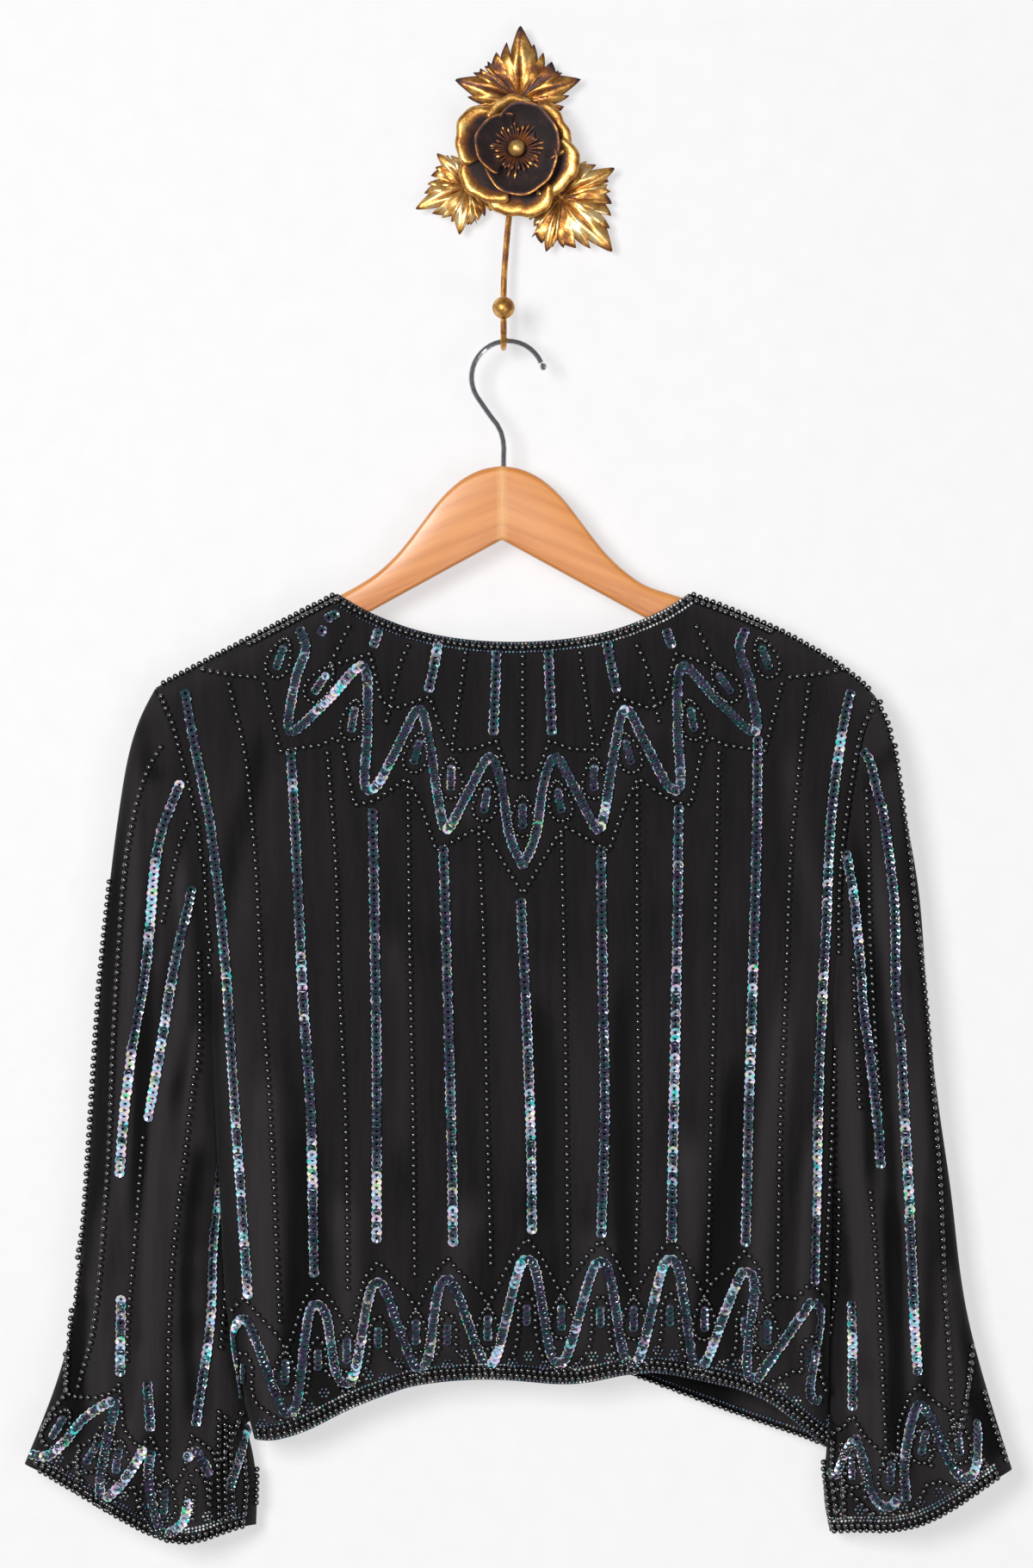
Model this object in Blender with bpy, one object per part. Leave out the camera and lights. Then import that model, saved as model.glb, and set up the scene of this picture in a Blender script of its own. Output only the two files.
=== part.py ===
"""Beaded jacket on a wooden hanger and a gilt flower wall hook, hung with its back to the room.

Metres, +Z up. The wall is the plane y = 0 and the room is on the -Y side. The origin is the centre
of the wall plate's flat back. Sizes in the tables are millimetres.
"""
from collections import namedtuple
from math import atan2, cos, degrees, hypot, pi, radians, sin, sqrt

import bmesh
import bpy
import numpy as np
from mathutils import Vector

MM = 0.001

# Driving dimensions, in millimetres
CLOTH = 1.6             # wall of the cloth with its beadwork
SEAM_GAP = 0.5          # between two sewn pieces
SEAT_GAP = 0.4          # between the cloth and the wood that carries it
FIT_GAP = 0.3           # between hard pieces that touch
MIDDLE_Y = -26.0        # plane of the hanger, half way between the jacket's two layers
HANGER_X = -7.5         # centre line of the hanger
WOOD = 11.0             # thickness of the hanger
SHOULDER_ROUND = 7.0    # how far below the shoulder seam the cloth reaches its full depth
SIDE_ROUND = 15.0       # the same at the side seams
UNDERARM_ROUND = 22.0   # the same above the underarm point

# Materials: colour, roughness, metallic
FINISHES = {
    "beaded_cloth": ((0.012, 0.011, 0.013), 0.75, 0.0),
    "hanger_wood": ((0.62, 0.33, 0.13), 0.45, 0.0),
    "chrome_wire": ((0.72, 0.73, 0.75), 0.12, 1.0),
    "gilt_metal": ((0.62, 0.36, 0.10), 0.38, 1.0),
    "dark_gilt": ((0.09, 0.055, 0.035), 0.6, 0.6),
}

# Side outline of the body: height, left edge and right edge. Armhole down to the underarm, then side seam.
SideRow = namedtuple("SideRow", "drop left right")
SIDES = [
    SideRow(0, -210, 209),
    SideRow(28, -198, 200),
    SideRow(62, -189, 194),
    SideRow(90, -184, 191),
    SideRow(125, -180, 188),
    SideRow(175, -177, 185.5),
    SideRow(230, -175.5, 184.5),
    SideRow(300, -172, 183),
    SideRow(380, -166, 181.5),
    SideRow(436, -152, 180),
]
UNDERARM_DROP = 175     # from the shoulder tip to the underarm point

# Shoulder seam over the hanger, from the left tip to the neck and from the neck to the right tip
SeamPoint = namedtuple("SeamPoint", "x z")
SHOULDER = {
    "left": [SeamPoint(-210, -315), SeamPoint(-175, -296.5), SeamPoint(-135, -276), SeamPoint(-104, -260)],
    "right": [SeamPoint(100, -260), SeamPoint(140, -275.5), SeamPoint(172, -291.5),
              SeamPoint(194, -306), SeamPoint(209, -320)],
}
NECK_LEFT, NECK_RIGHT = SHOULDER["left"][-1].x, SHOULDER["right"][0].x
RIDGE_SLOPE = 0.52      # the hanger's top goes on up at this slope inside the neck

BACK_NECK = [SeamPoint(-104, -260), SeamPoint(-85, -271), SeamPoint(-65, -279.5), SeamPoint(-35, -286),
             SeamPoint(0, -288), SeamPoint(32, -286), SeamPoint(60, -280.5), SeamPoint(84, -270),
             SeamPoint(100, -260)]
BACK_HEM = [SeamPoint(-152, -751), SeamPoint(-130, -749), SeamPoint(-98, -733), SeamPoint(-60, -719),
            SeamPoint(-15, -715), SeamPoint(40, -718), SeamPoint(67, -711), SeamPoint(110, -717),
            SeamPoint(142, -725), SeamPoint(180, -756)]
FRONT_NECK_DEPTH = 118.0
CENTRE_X = 0.0          # line where the two fronts meet
CENTRE_SPLIT = 2.0      # each front's edge stands this far from the line at the top
CENTRE_SPREAD = 9.0     # and falls this much further from it at the hem
FRONT_HEM = {
    "left": [SeamPoint(-152, -751), SeamPoint(-110, -735), SeamPoint(-60, -712), SeamPoint(-11, -700)],
    "right": [SeamPoint(11, -700), SeamPoint(67, -716), SeamPoint(100, -728), SeamPoint(140, -743),
              SeamPoint(180, -756)],
}

# Depth of each layer from the middle plane, by distance below the shoulder tip
DepthRow = namedtuple("DepthRow", "drop back front")
DEPTHS = [DepthRow(0, 8.6, 8.6), DepthRow(60, 10.0, 9.0), DepthRow(175, 13.5, 11.0),
          DepthRow(300, 15.0, 12.5), DepthRow(440, 16.5, 14.0)]

# Soft vertical folds of the body: place at the top and at the hem, width, height, and how far down they start
Fold = namedtuple("Fold", "top hem width height start")
BACK_FOLDS = [Fold(-188, -140, 9, 3.2, 150), Fold(-150, -112, 14, -2.4, 210), Fold(-60, -66, 18, 1.8, 190),
              Fold(20, 8, 24, -1.6, 160), Fold(88, 60, 15, 3.0, 250), Fold(150, 112, 13, -2.6, 280),
              Fold(176, 152, 9, 3.4, 240)]
FRONT_FOLDS = {
    "left": [Fold(-170, -132, 11, 2.6, 140), Fold(-120, -96, 14, -2.2, 180), Fold(-60, -52, 15, 2.2, 150),
             Fold(-20, -20, 9, -1.6, 170)],
    "right": [Fold(165, 140, 11, 2.8, 150), Fold(120, 108, 13, -2.4, 170), Fold(70, 64, 14, 2.4, 140),
              Fold(26, 30, 9, -1.8, 160)],
}

FOLD_BUILD = 170.0      # a fold reaches its full height over this length
FOLD_LENGTH = 430.0     # and drifts from its top place to its hem place over this one
NECK_CURVE = (1.6, 1.15)        # powers of the front neckline: flat at the edge, steep at the shoulder

# Sleeves: outer and inner outline from the armhole to the cuff
SLEEVE_OUTER = {
    "left": [SeamPoint(-210, -315), SeamPoint(-222, -338), SeamPoint(-228, -368), SeamPoint(-236, -425),
             SeamPoint(-242, -490), SeamPoint(-247, -570), SeamPoint(-253, -640), SeamPoint(-261, -700),
             SeamPoint(-275, -740), SeamPoint(-286, -766)],
    "right": [SeamPoint(209, -320), SeamPoint(219, -345), SeamPoint(225, -385), SeamPoint(233, -425),
              SeamPoint(238, -490), SeamPoint(244, -550), SeamPoint(253, -610), SeamPoint(260, -672),
              SeamPoint(274, -725), SeamPoint(288, -769)],
}
SLEEVE_INNER_END = {
    "left": [SeamPoint(-162.5, -735), SeamPoint(-153, -766), SeamPoint(-153, -803)],
    "right": [SeamPoint(182.6, -758), SeamPoint(179, -780), SeamPoint(184, -807)],
}
SLEEVE_CLEAR = 2.3      # from the body's side line to the sleeve's inner line at the underarm
SLEEVE_TUCK = 1.0       # lower down the sleeve's inner line lies this far behind the body's side
SLEEVE_BEHIND = 11.0    # and this far nearer the wall than the middle plane
CUFF_SAG = {"left": 21.0, "right": 12.0}        # the cuff's edge dips below its chord
CUFF_LOWEST = {"left": 0.66, "right": 0.52}     # where it is lowest, from the outer to the inner side
WALL_SIDE = 0.82        # a sleeve's layer by the wall lies this much flatter
SLEEVE_DEPTHS = ((0.0, 8.6), (0.15, 12.0), (0.5, 15.0), (0.85, 16.0), (1.0, 17.0))

UNDERARM_FROM = 0.75    # share of the armhole from which the sleeve clears the body more
SAG_FROM = 0.55         # share of the sleeve's length from which the cuff's dip is felt
SLIP_FROM = 210.0       # drop at which the inner line starts to slip behind the body
SLIP_LENGTH = 75.0
OUT_FROM = 290.0        # drop at which it comes out again, level with the body's side
OUT_LENGTH = 60.0

# Long folds of a sleeve: place across it at the armhole and at the cuff, width, height at mid length
SleeveFold = namedtuple("SleeveFold", "top cuff width height")
SLEEVE_FOLDS = {
    "left": [SleeveFold(0.30, 0.25, 0.07, 3.4), SleeveFold(0.52, 0.47, 0.06, -5.0),
             SleeveFold(0.68, 0.66, 0.07, 4.4), SleeveFold(0.86, 0.82, 0.05, -3.4)],
    "right": [SleeveFold(0.24, 0.28, 0.07, 3.2), SleeveFold(0.46, 0.50, 0.06, -5.0),
              SleeveFold(0.62, 0.66, 0.06, 3.8), SleeveFold(0.80, 0.82, 0.05, -3.8)],
}

# Stations down the armhole, as shares of it, shared by the body's rows and the sleeve's first ring
ARMHOLE_STATIONS = (0, 0.006, 0.024, 0.065, 0.14, 0.26, 0.40, 0.55, 0.70, 0.83, 0.935, 1.0)
SQUARE_UNTIL = 0.86     # share of the armhole along which the body's wall ends square to the seam
BODY_ROWS_BELOW = 8
EDGE_STEPS = (0, 2, 7, 16)      # columns near a side seam, distance from it
NECK_STEPS = (1.5, 4, 9, 16)    # columns beside a neck point, distance from it
SLEEVE_RINGS = 16


def clear_scene():
    for thing in list(bpy.data.objects):
        bpy.data.objects.remove(thing, do_unlink=True)


def finish(name):
    material = bpy.data.materials.get(name)
    if material is None:
        colour, roughness, metallic = FINISHES[name]
        material = bpy.data.materials.new(name)
        material.use_nodes = True
        shader = material.node_tree.nodes["Principled BSDF"]
        shader.inputs["Base Color"].default_value = (*colour, 1)
        shader.inputs["Roughness"].default_value = roughness
        shader.inputs["Metallic"].default_value = metallic
    return material


def add_object(name, bm, finish_name):
    bmesh.ops.recalc_face_normals(bm, faces=bm.faces)
    mesh = bpy.data.meshes.new(name)
    bm.to_mesh(mesh)
    bm.free()
    mesh.materials.append(finish(finish_name))
    mesh.shade_smooth()
    mesh.set_sharp_from_angle(angle=radians(50))
    piece = bpy.data.objects.new(name, mesh)
    bpy.context.scene.collection.objects.link(piece)
    return piece


def smooth_line(keys, values, at):
    """Cubic through the table's points. Beyond its ends it keeps the end value."""
    keys, values = np.asarray(keys, float), np.asarray(values, float)
    if keys[0] > keys[-1]:
        keys, values = keys[::-1], values[::-1]
    at = min(max(at, keys[0]), keys[-1])
    slopes = np.gradient(values, keys)
    k = min(int(np.searchsorted(keys, at, side="right")) - 1, len(keys) - 2)
    step = keys[k + 1] - keys[k]
    s = (at - keys[k]) / step
    return ((1 + 2 * s) * (1 - s) ** 2 * values[k] + s * (1 - s) ** 2 * step * slopes[k]
            + s * s * (3 - 2 * s) * values[k + 1] + s * s * (s - 1) * step * slopes[k + 1])


def table_line(rows, key, value, at):
    return smooth_line([getattr(r, key) for r in rows], [getattr(r, value) for r in rows], at)


def rounding(share):
    """Quarter circle: 0 at the edge, 1 from a share of 1 inwards."""
    share = min(max(share, 0.0), 1.0)
    return sqrt(1 - (1 - share) ** 2)


def ease(share):
    share = min(max(share, 0.0), 1.0)
    return share * share * (3 - 2 * share)


# Body outline
def tip_z(side):
    return SHOULDER[side][0 if side == "left" else -1].z


def side_x(side, z):
    return table_line(SIDES, "drop", side, tip_z(side) - z)


def ridge_z(x):
    """Height of the shoulder seam, or of the line that goes on up from it inside the neck."""
    if x <= NECK_LEFT:
        return table_line(SHOULDER["left"], "x", "z", x)
    if x >= NECK_RIGHT:
        return table_line(SHOULDER["right"], "x", "z", x)
    return SHOULDER["left"][-1].z + RIDGE_SLOPE * min(x - NECK_LEFT, NECK_RIGHT - x)


def fold_height(folds, x, drop):
    total = 0.0
    for fold in folds:
        down = ease((drop - fold.start) / FOLD_BUILD)
        place = fold.top + (fold.hem - fold.top) * min(max(drop / FOLD_LENGTH, 0), 1)
        total += fold.height * down * np.exp(-((x - place) / fold.width) ** 2)
    return total


def body_depth(x, z, layer):
    """Distance of a layer's middle surface from the middle plane. Layer is back, left or right."""
    side = "left" if x < CENTRE_X else "right"
    drop = tip_z(side) - z
    column = "back" if layer == "back" else "front"
    full = table_line(DEPTHS, "drop", column, drop)
    folds = BACK_FOLDS if layer == "back" else FRONT_FOLDS[layer]
    full += fold_height(folds, x, drop)
    from_side = min(x - side_x("left", z), side_x("right", z) - x)
    at_edge = 0.0
    if drop < UNDERARM_DROP:
        edge_full = table_line(DEPTHS, "drop", "back", 0)
        at_edge = edge_full * rounding((UNDERARM_DROP - drop) / UNDERARM_ROUND)
    depth = at_edge + (full - at_edge) * rounding(from_side / SIDE_ROUND)
    return depth * rounding((ridge_z(x) - z) / SHOULDER_ROUND)


def grid_normals(points, closed):
    """Unit normals of a grid of points, by differences along its rows and columns."""
    if closed:
        across = np.roll(points, -1, axis=1) - np.roll(points, 1, axis=1)
    else:
        across = np.gradient(points, axis=1)
    down = np.gradient(points, axis=0)
    normals = np.cross(across, down)
    return normals / np.maximum(np.linalg.norm(normals, axis=2, keepdims=True), 1e-9)


def keep_own_side(points, normals):
    """Tilts the wall's direction where the other side of it would cross the middle plane."""
    half = CLOTH / 2
    for row in range(points.shape[0]):
        for column in range(points.shape[1]):
            depth = abs(points[row, column, 1] - MIDDLE_Y)
            most = min(max((depth - SEAM_GAP / 2) / half, 0.0), 1.0)
            n = normals[row, column]
            if abs(n[1]) > most:
                flat = hypot(n[0], n[2]) or 1.0
                grow = sqrt(1 - most * most) / flat
                n[:] = (n[0] * grow, most * (1 if n[1] > 0 else -1), n[2] * grow)


def sheet_solid(name, points, normals, finish_name, thickness=CLOTH, closed=False):
    """A wall of even thickness on a grid of points, open or closed round its rows."""
    rows, columns = points.shape[:2]
    bm = bmesh.new()
    outer = [[bm.verts.new(Vector((points[r, c] + normals[r, c] * thickness / 2) * MM))
              for c in range(columns)] for r in range(rows)]
    inner = [[bm.verts.new(Vector((points[r, c] - normals[r, c] * thickness / 2) * MM))
              for c in range(columns)] for r in range(rows)]
    spans = columns if closed else columns - 1
    for r in range(rows - 1):
        for c in range(spans):
            d = (c + 1) % columns
            bm.faces.new((outer[r][c], outer[r][d], outer[r + 1][d], outer[r + 1][c]))
            bm.faces.new((inner[r][c], inner[r + 1][c], inner[r + 1][d], inner[r][d]))
    for r in (0, rows - 1):
        for c in range(spans):
            d = (c + 1) % columns
            bm.faces.new((outer[r][c], inner[r][c], inner[r][d], outer[r][d]))
    if not closed:
        for c in (0, columns - 1):
            for r in range(rows - 1):
                bm.faces.new((outer[r][c], outer[r + 1][c], inner[r + 1][c], inner[r][c]))
    bmesh.ops.triangulate(bm, faces=bm.faces)
    return add_object(name, bm, finish_name)


def body_rows():
    """Shares of the way from the top edge to the hem, matched to the armhole's stations."""
    armhole = UNDERARM_DROP / SIDES[-1].drop
    rows = [armhole * station for station in ARMHOLE_STATIONS]
    rows += [armhole + (1 - armhole) * k / BODY_ROWS_BELOW for k in range(1, BODY_ROWS_BELOW + 1)]
    return rows


def back_columns():
    width = SHOULDER["right"][-1].x - SHOULDER["left"][0].x
    first = [step / width for step in EDGE_STEPS]
    neck_left = (NECK_LEFT - SHOULDER["left"][0].x) / width
    neck_right = (NECK_RIGHT - SHOULDER["left"][0].x) / width
    places = first + [1 - share for share in first]
    places += [neck_left, neck_right]
    places += [neck_left + step / width for step in NECK_STEPS]
    places += [neck_right - step / width for step in NECK_STEPS]
    places += [first[-1] + (neck_left - first[-1]) * k / 4 for k in (1, 2, 3)]
    places += [neck_right + (1 - first[-1] - neck_right) * k / 4 for k in (1, 2, 3)]
    inner_left, inner_right = neck_left + NECK_STEPS[-1] / width, neck_right - NECK_STEPS[-1] / width
    places += [inner_left + (inner_right - inner_left) * k / 7 for k in range(1, 7)]
    return sorted(places)


def side_point(side, share):
    top, drop = tip_z(side), SIDES[-1].drop * share
    inset = SEAM_GAP / 2 if side == "left" else -SEAM_GAP / 2
    return side_x(side, top - drop) + inset, top - drop


def back_point(across, share):
    left, right = side_point("left", share)[0], side_point("right", share)[0]
    x = left + (right - left) * across
    top_x = side_point("left", 0)[0] * (1 - across) + side_point("right", 0)[0] * across
    hem_x = side_point("left", 1)[0] * (1 - across) + side_point("right", 1)[0] * across
    top = ridge_z(top_x)
    if NECK_LEFT < top_x < NECK_RIGHT:
        top = table_line(BACK_NECK, "x", "z", top_x)
    hem = table_line(BACK_HEM, "x", "z", hem_x)
    return x, top + (hem - top) * share


def settle_armhole(points, normals, column, side):
    """At the armhole the wall's end lies square to the seam, so that the sleeve's end meets it."""
    for row in range(len(ARMHOLE_STATIONS)):
        after, before = points[min(row + 1, len(points) - 1), column], points[max(row - 1, 0), column]
        along = Vector(((after - before)[0], 0, (after - before)[2])).normalized()
        outward = Vector((along.z, 0, -along.x))
        n = Vector(normals[row, column])
        keep = ease((ARMHOLE_STATIONS[row] - SQUARE_UNTIL) / (1 - SQUARE_UNTIL))
        n -= outward * n.dot(outward) * (1 - keep)
        if row == 0:
            n = -along
        normals[row, column] = n.normalized()


def make_back():
    rows, columns = body_rows(), back_columns()
    points = np.zeros((len(rows), len(columns), 3))
    for r, share in enumerate(rows):
        for c, across in enumerate(columns):
            x, z = back_point(across, share)
            depth = max(body_depth(x, z, "back"), SEAM_GAP / 2)
            points[r, c] = (x, MIDDLE_Y - depth, z)
    normals = -grid_normals(points, False)
    if normals[len(rows) // 2, len(columns) // 2, 1] > 0:
        normals = -normals
    settle_armhole(points, normals, 0, "left")
    settle_armhole(points, normals, len(columns) - 1, "right")
    keep_own_side(points, normals)
    sheet_solid("back", points, normals, "beaded_cloth")


def front_point(side, across, share):
    """Across runs from the side seam to the centre front edge."""
    sign = -1 if side == "left" else 1
    tip_x = side_point(side, 0)[0]
    hem_side_x = side_point(side, 1)[0]
    edge_top, edge_hem = CENTRE_X + sign * CENTRE_SPLIT, CENTRE_X + sign * (CENTRE_SPLIT + CENTRE_SPREAD)
    edge_x = edge_top + (edge_hem - edge_top) * share
    side_now = side_point(side, share)[0]
    x = side_now + (edge_x - side_now) * across
    top_x = tip_x + (edge_top - tip_x) * across
    hem_x = hem_side_x + (edge_hem - hem_side_x) * across
    neck = NECK_LEFT if side == "left" else NECK_RIGHT
    if abs(top_x) >= abs(neck):
        top = ridge_z(top_x)
    else:
        share_in = (top_x - edge_top) / (neck - edge_top)
        top = ridge_z(neck) - FRONT_NECK_DEPTH * max(1 - share_in ** NECK_CURVE[0], 0) ** NECK_CURVE[1]
    hem = table_line(FRONT_HEM[side], "x", "z", hem_x)
    return x, top + (hem - top) * share


def front_columns(side):
    tip_x = side_point(side, 0)[0]
    width = abs(tip_x - CENTRE_X)
    neck = abs(tip_x - (NECK_LEFT if side == "left" else NECK_RIGHT)) / width
    first = [step / width for step in EDGE_STEPS]
    places = first + [neck] + [neck + step / width for step in NECK_STEPS]
    places += [first[-1] + (neck - first[-1]) * k / 4 for k in (1, 2, 3)]
    inner = neck + NECK_STEPS[-1] / width
    places += [inner + (1 - inner) * k / 5 for k in range(1, 6)]
    return sorted(places)


def make_front(side):
    rows, columns = body_rows(), front_columns(side)
    points = np.zeros((len(rows), len(columns), 3))
    for r, share in enumerate(rows):
        for c, across in enumerate(columns):
            x, z = front_point(side, across, share)
            depth = max(body_depth(x, z, side), SEAM_GAP / 2)
            points[r, c] = (x, MIDDLE_Y + depth, z)
    normals = grid_normals(points, False)
    if normals[len(rows) // 2, len(columns) // 2, 1] < 0:
        normals = -normals
    settle_armhole(points, normals, 0, side)
    keep_own_side(points, normals)
    sheet_solid(f"front_{side}", points, normals, "beaded_cloth")


# Sleeves
def along_path(path, share):
    """Point at a share of a path's length, on a smooth curve through its points."""
    lengths = [0.0]
    for a, b in zip(path, path[1:]):
        lengths.append(lengths[-1] + hypot(b.x - a.x, b.z - a.z))
    at = share * lengths[-1]
    return (smooth_line(lengths, [p.x for p in path], at), smooth_line(lengths, [p.z for p in path], at))


def inner_path(side):
    """The sleeve's inner line starts just outside the body's side seam, then slips behind it."""
    sign = -1 if side == "left" else 1
    path = []
    for drop in (UNDERARM_DROP, SLIP_FROM, 245, OUT_FROM, 335, 385):
        away = SLEEVE_CLEAR - (SLEEVE_CLEAR + SLEEVE_TUCK) * ease((drop - SLIP_FROM) / SLIP_LENGTH)
        away += SLEEVE_TUCK * ease((drop - OUT_FROM) / OUT_LENGTH)
        path.append(SeamPoint(side_x(side, tip_z(side) - drop) + sign * away, tip_z(side) - drop))
    return path + SLEEVE_INNER_END[side]


def sleeve_middle(side, across, share):
    """Point of the sleeve's middle plane. Across runs from the outer to the inner line."""
    outer, inner = along_path(SLEEVE_OUTER[side], share), along_path(inner_path(side), share)
    x = outer[0] + (inner[0] - outer[0]) * across
    z = outer[1] + (inner[1] - outer[1]) * across
    top = tip_z(side)
    first_inner = inner_path(side)[0]
    chord_x = SLEEVE_OUTER[side][0].x + (first_inner.x - SLEEVE_OUTER[side][0].x) * across
    chord_z = SLEEVE_OUTER[side][0].z + (first_inner.z - SLEEVE_OUTER[side][0].z) * across
    sign = -1 if side == "left" else 1
    gap = SEAM_GAP / 2 + (SLEEVE_CLEAR - SEAM_GAP / 2) * ease(
        (across - UNDERARM_FROM) / (1 - UNDERARM_FROM))
    seam_z = top - UNDERARM_DROP * across
    seam_x = side_x(side, seam_z) + sign * gap
    fade = (1 - share) ** 3
    x += (seam_x - chord_x) * fade
    z += (seam_z - chord_z) * fade
    lowest = CUFF_LOWEST[side]
    bend = across / lowest if across < lowest else (1 - across) / (1 - lowest)
    z -= CUFF_SAG[side] * ease(bend) * ease((share - SAG_FROM) / (1 - SAG_FROM))
    return x, z


def sleeve_depth(side, across, share, layer):
    full = np.interp(share, *zip(*SLEEVE_DEPTHS))
    if layer == "front":
        full += (full * WALL_SIDE - full) * ease(share / 0.2)
    first = rounding(UNDERARM_DROP * across / SHOULDER_ROUND) * rounding(
        UNDERARM_DROP * (1 - across) / UNDERARM_ROUND)
    later = (2 * sqrt(max(across * (1 - across), 0))) ** 0.75
    shape = first + (later - first) * ease(share / 0.3)
    ripple = 0.0
    for fold in SLEEVE_FOLDS[side]:
        place = fold.top + (fold.cuff - fold.top) * share
        if layer == "front":
            place = 1 - place
        ripple += fold.height * np.exp(-((across - place) / fold.width) ** 2)
    along = ease(share / 0.35) * (1 - 0.35 * ease((share - 0.8) / 0.2))
    return full * shape + ripple * along * rounding(4 * across) * rounding(4 - 4 * across)


def sleeve_behind(across, share):
    """How far the sleeve's inner part lies behind the middle plane."""
    return SLEEVE_BEHIND * across ** 3 * ease(share / 0.13)


def sleeve_ring(side, share):
    """Points once round the sleeve: down the back layer, then up the front layer."""
    ring = []
    for across in ARMHOLE_STATIONS:
        x, z = sleeve_middle(side, across, share)
        middle = MIDDLE_Y + sleeve_behind(across, share)
        ring.append((x, middle - sleeve_depth(side, across, share, "back"), z))
    for across in ARMHOLE_STATIONS[-2:0:-1]:
        x, z = sleeve_middle(side, across, share)
        middle = MIDDLE_Y + sleeve_behind(across, share)
        ring.append((x, middle + sleeve_depth(side, across, share, "front"), z))
    return ring


def make_sleeve(side):
    shares = [(k / SLEEVE_RINGS) ** 1.15 for k in range(SLEEVE_RINGS + 1)]
    points = np.array([sleeve_ring(side, share) for share in shares])
    normals = grid_normals(points, True)
    middle = points[len(shares) // 2]
    outward = middle[0] - middle.mean(axis=0)
    if np.dot(normals[len(shares) // 2, 0], outward) < 0:
        normals = -normals
    count = len(ARMHOLE_STATIONS)
    for c in range(points.shape[1]):
        station = c if c < count else 2 * count - 2 - c
        low, high = max(station - 1, 0), min(station + 1, count - 1)
        along = Vector(points[0, high] - points[0, low])
        along.y = 0
        along.normalize()
        away = Vector((along.z, 0, -along.x))
        n = Vector(normals[0, c])
        n -= away * n.dot(away)
        if station == 0:
            n = -along
        if station == count - 1:
            n = along
        normals[0, c] = n.normalized()
    sheet_solid(f"sleeve_{side}", points, normals, "beaded_cloth", closed=True)


# Hanger
HangerRow = namedtuple("HangerRow", "out top")
HUMP = [HangerRow(0, -185), HangerRow(12, -187.5), HangerRow(24, -193.5), HangerRow(35, -203.5),
        HangerRow(44, -214.5), HangerRow(53, -227), HangerRow(62, -237.5), HangerRow(73, -247.5),
        HangerRow(84, -254.5)]
ARM_REACH = {"left": 187.0, "right": 201.0}     # from the centre line to each arm's end
UNDER_TOP = -228.0      # apex of the underside
UNDER_SLOPE = 0.545
WOOD_SINK = CLOTH / 2 + SEAT_GAP
ARM_DROOP = 0.7         # the arms' ends fall away from the cloth by this much


def hanger_top(x):
    out = abs(x - HANGER_X)
    seam = ridge_z(x) - WOOD_SINK - ARM_DROOP * ease((out - 140) / 40)
    if out < HUMP[-1].out:
        return table_line(HUMP, "out", "top", out)
    blend = ease((out - HUMP[-1].out) / 16)
    straight = HUMP[-1].top - RIDGE_SLOPE * (out - HUMP[-1].out)
    return straight + (seam - straight) * blend


def hanger_under(x):
    out = abs(x - HANGER_X)
    line = UNDER_TOP - UNDER_SLOPE * out
    return min(line, hanger_top(x) - 15.0) if out > 60 else line


def wood_section(half, top, under):
    """Outline of the arm cut across: a round top edge and eased lower corners."""
    section = [(half * sin(radians(a)), top - half * (1 - cos(radians(a)))) for a in (-90, -60, -30, 0, 30, 60, 90)]
    ease_r = min(2.0, half * 0.6)
    section += [(half, under + ease_r), (half - ease_r, under), (-half + ease_r, under), (-half, under + ease_r)]
    return section


def make_hanger():
    left_end, right_end = HANGER_X - ARM_REACH["left"], HANGER_X + ARM_REACH["right"]
    stations = [left_end, left_end + 1.2, left_end + 4.5]
    stations += list(np.linspace(left_end + 12, right_end - 12, 27))
    stations += [right_end - 4.5, right_end - 1.2, right_end]
    bm = bmesh.new()
    loops = []
    for x in stations:
        to_end = min(x - left_end, right_end - x)
        narrow = rounding((to_end + 0.6) / 6)
        top, under = hanger_top(x), hanger_under(x)
        middle = (top + under) / 2
        top, under = middle + (top - middle) * narrow, middle + (under - middle) * narrow
        half = WOOD / 2 * narrow
        loops.append([bm.verts.new(Vector((x, MIDDLE_Y + y, z)) * MM) for y, z in wood_section(half, top, under)])
    for a, b in zip(loops, loops[1:]):
        for k in range(len(a)):
            m = (k + 1) % len(a)
            bm.faces.new((a[k], a[m], b[m], b[k]))
    bm.faces.new(loops[0])
    bm.faces.new(loops[-1])
    bmesh.ops.triangulate(bm, faces=bm.faces)
    wood = add_object("hanger", bm, "hanger_wood")
    bore = cylinder("hanger_bore", WIRE_R + FIT_GAP, HANGER_X, BORE_FOOT, HUMP[0].top + 5)
    bore.hide_render = True
    bore.display_type = "WIRE"
    cut = wood.modifiers.new("bore", "BOOLEAN")
    cut.operation = "DIFFERENCE"
    cut.solver = "EXACT"
    cut.object = bore


def cylinder(name, radius, x, low, high):
    bm = bmesh.new()
    bmesh.ops.create_cone(bm, cap_ends=True, segments=12, radius1=radius * MM, radius2=radius * MM,
                          depth=(high - low) * MM)
    bmesh.ops.translate(bm, verts=bm.verts, vec=Vector((x, MIDDLE_Y, (low + high) / 2)) * MM)
    return add_object(name, bm, "chrome_wire")


# Wires: the hanger's chrome hook and the wall hook's rod
WIRE_R = 1.7
LOOP_R = 21.2
LOOP_X, LOOP_Z = -5.0, -133.5
LOOP_FROM, LOOP_TO = 24, 212        # degrees, from the tip over the top to the throat
TIP_R = 2.3
BORE_FOOT = -200.0


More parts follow.
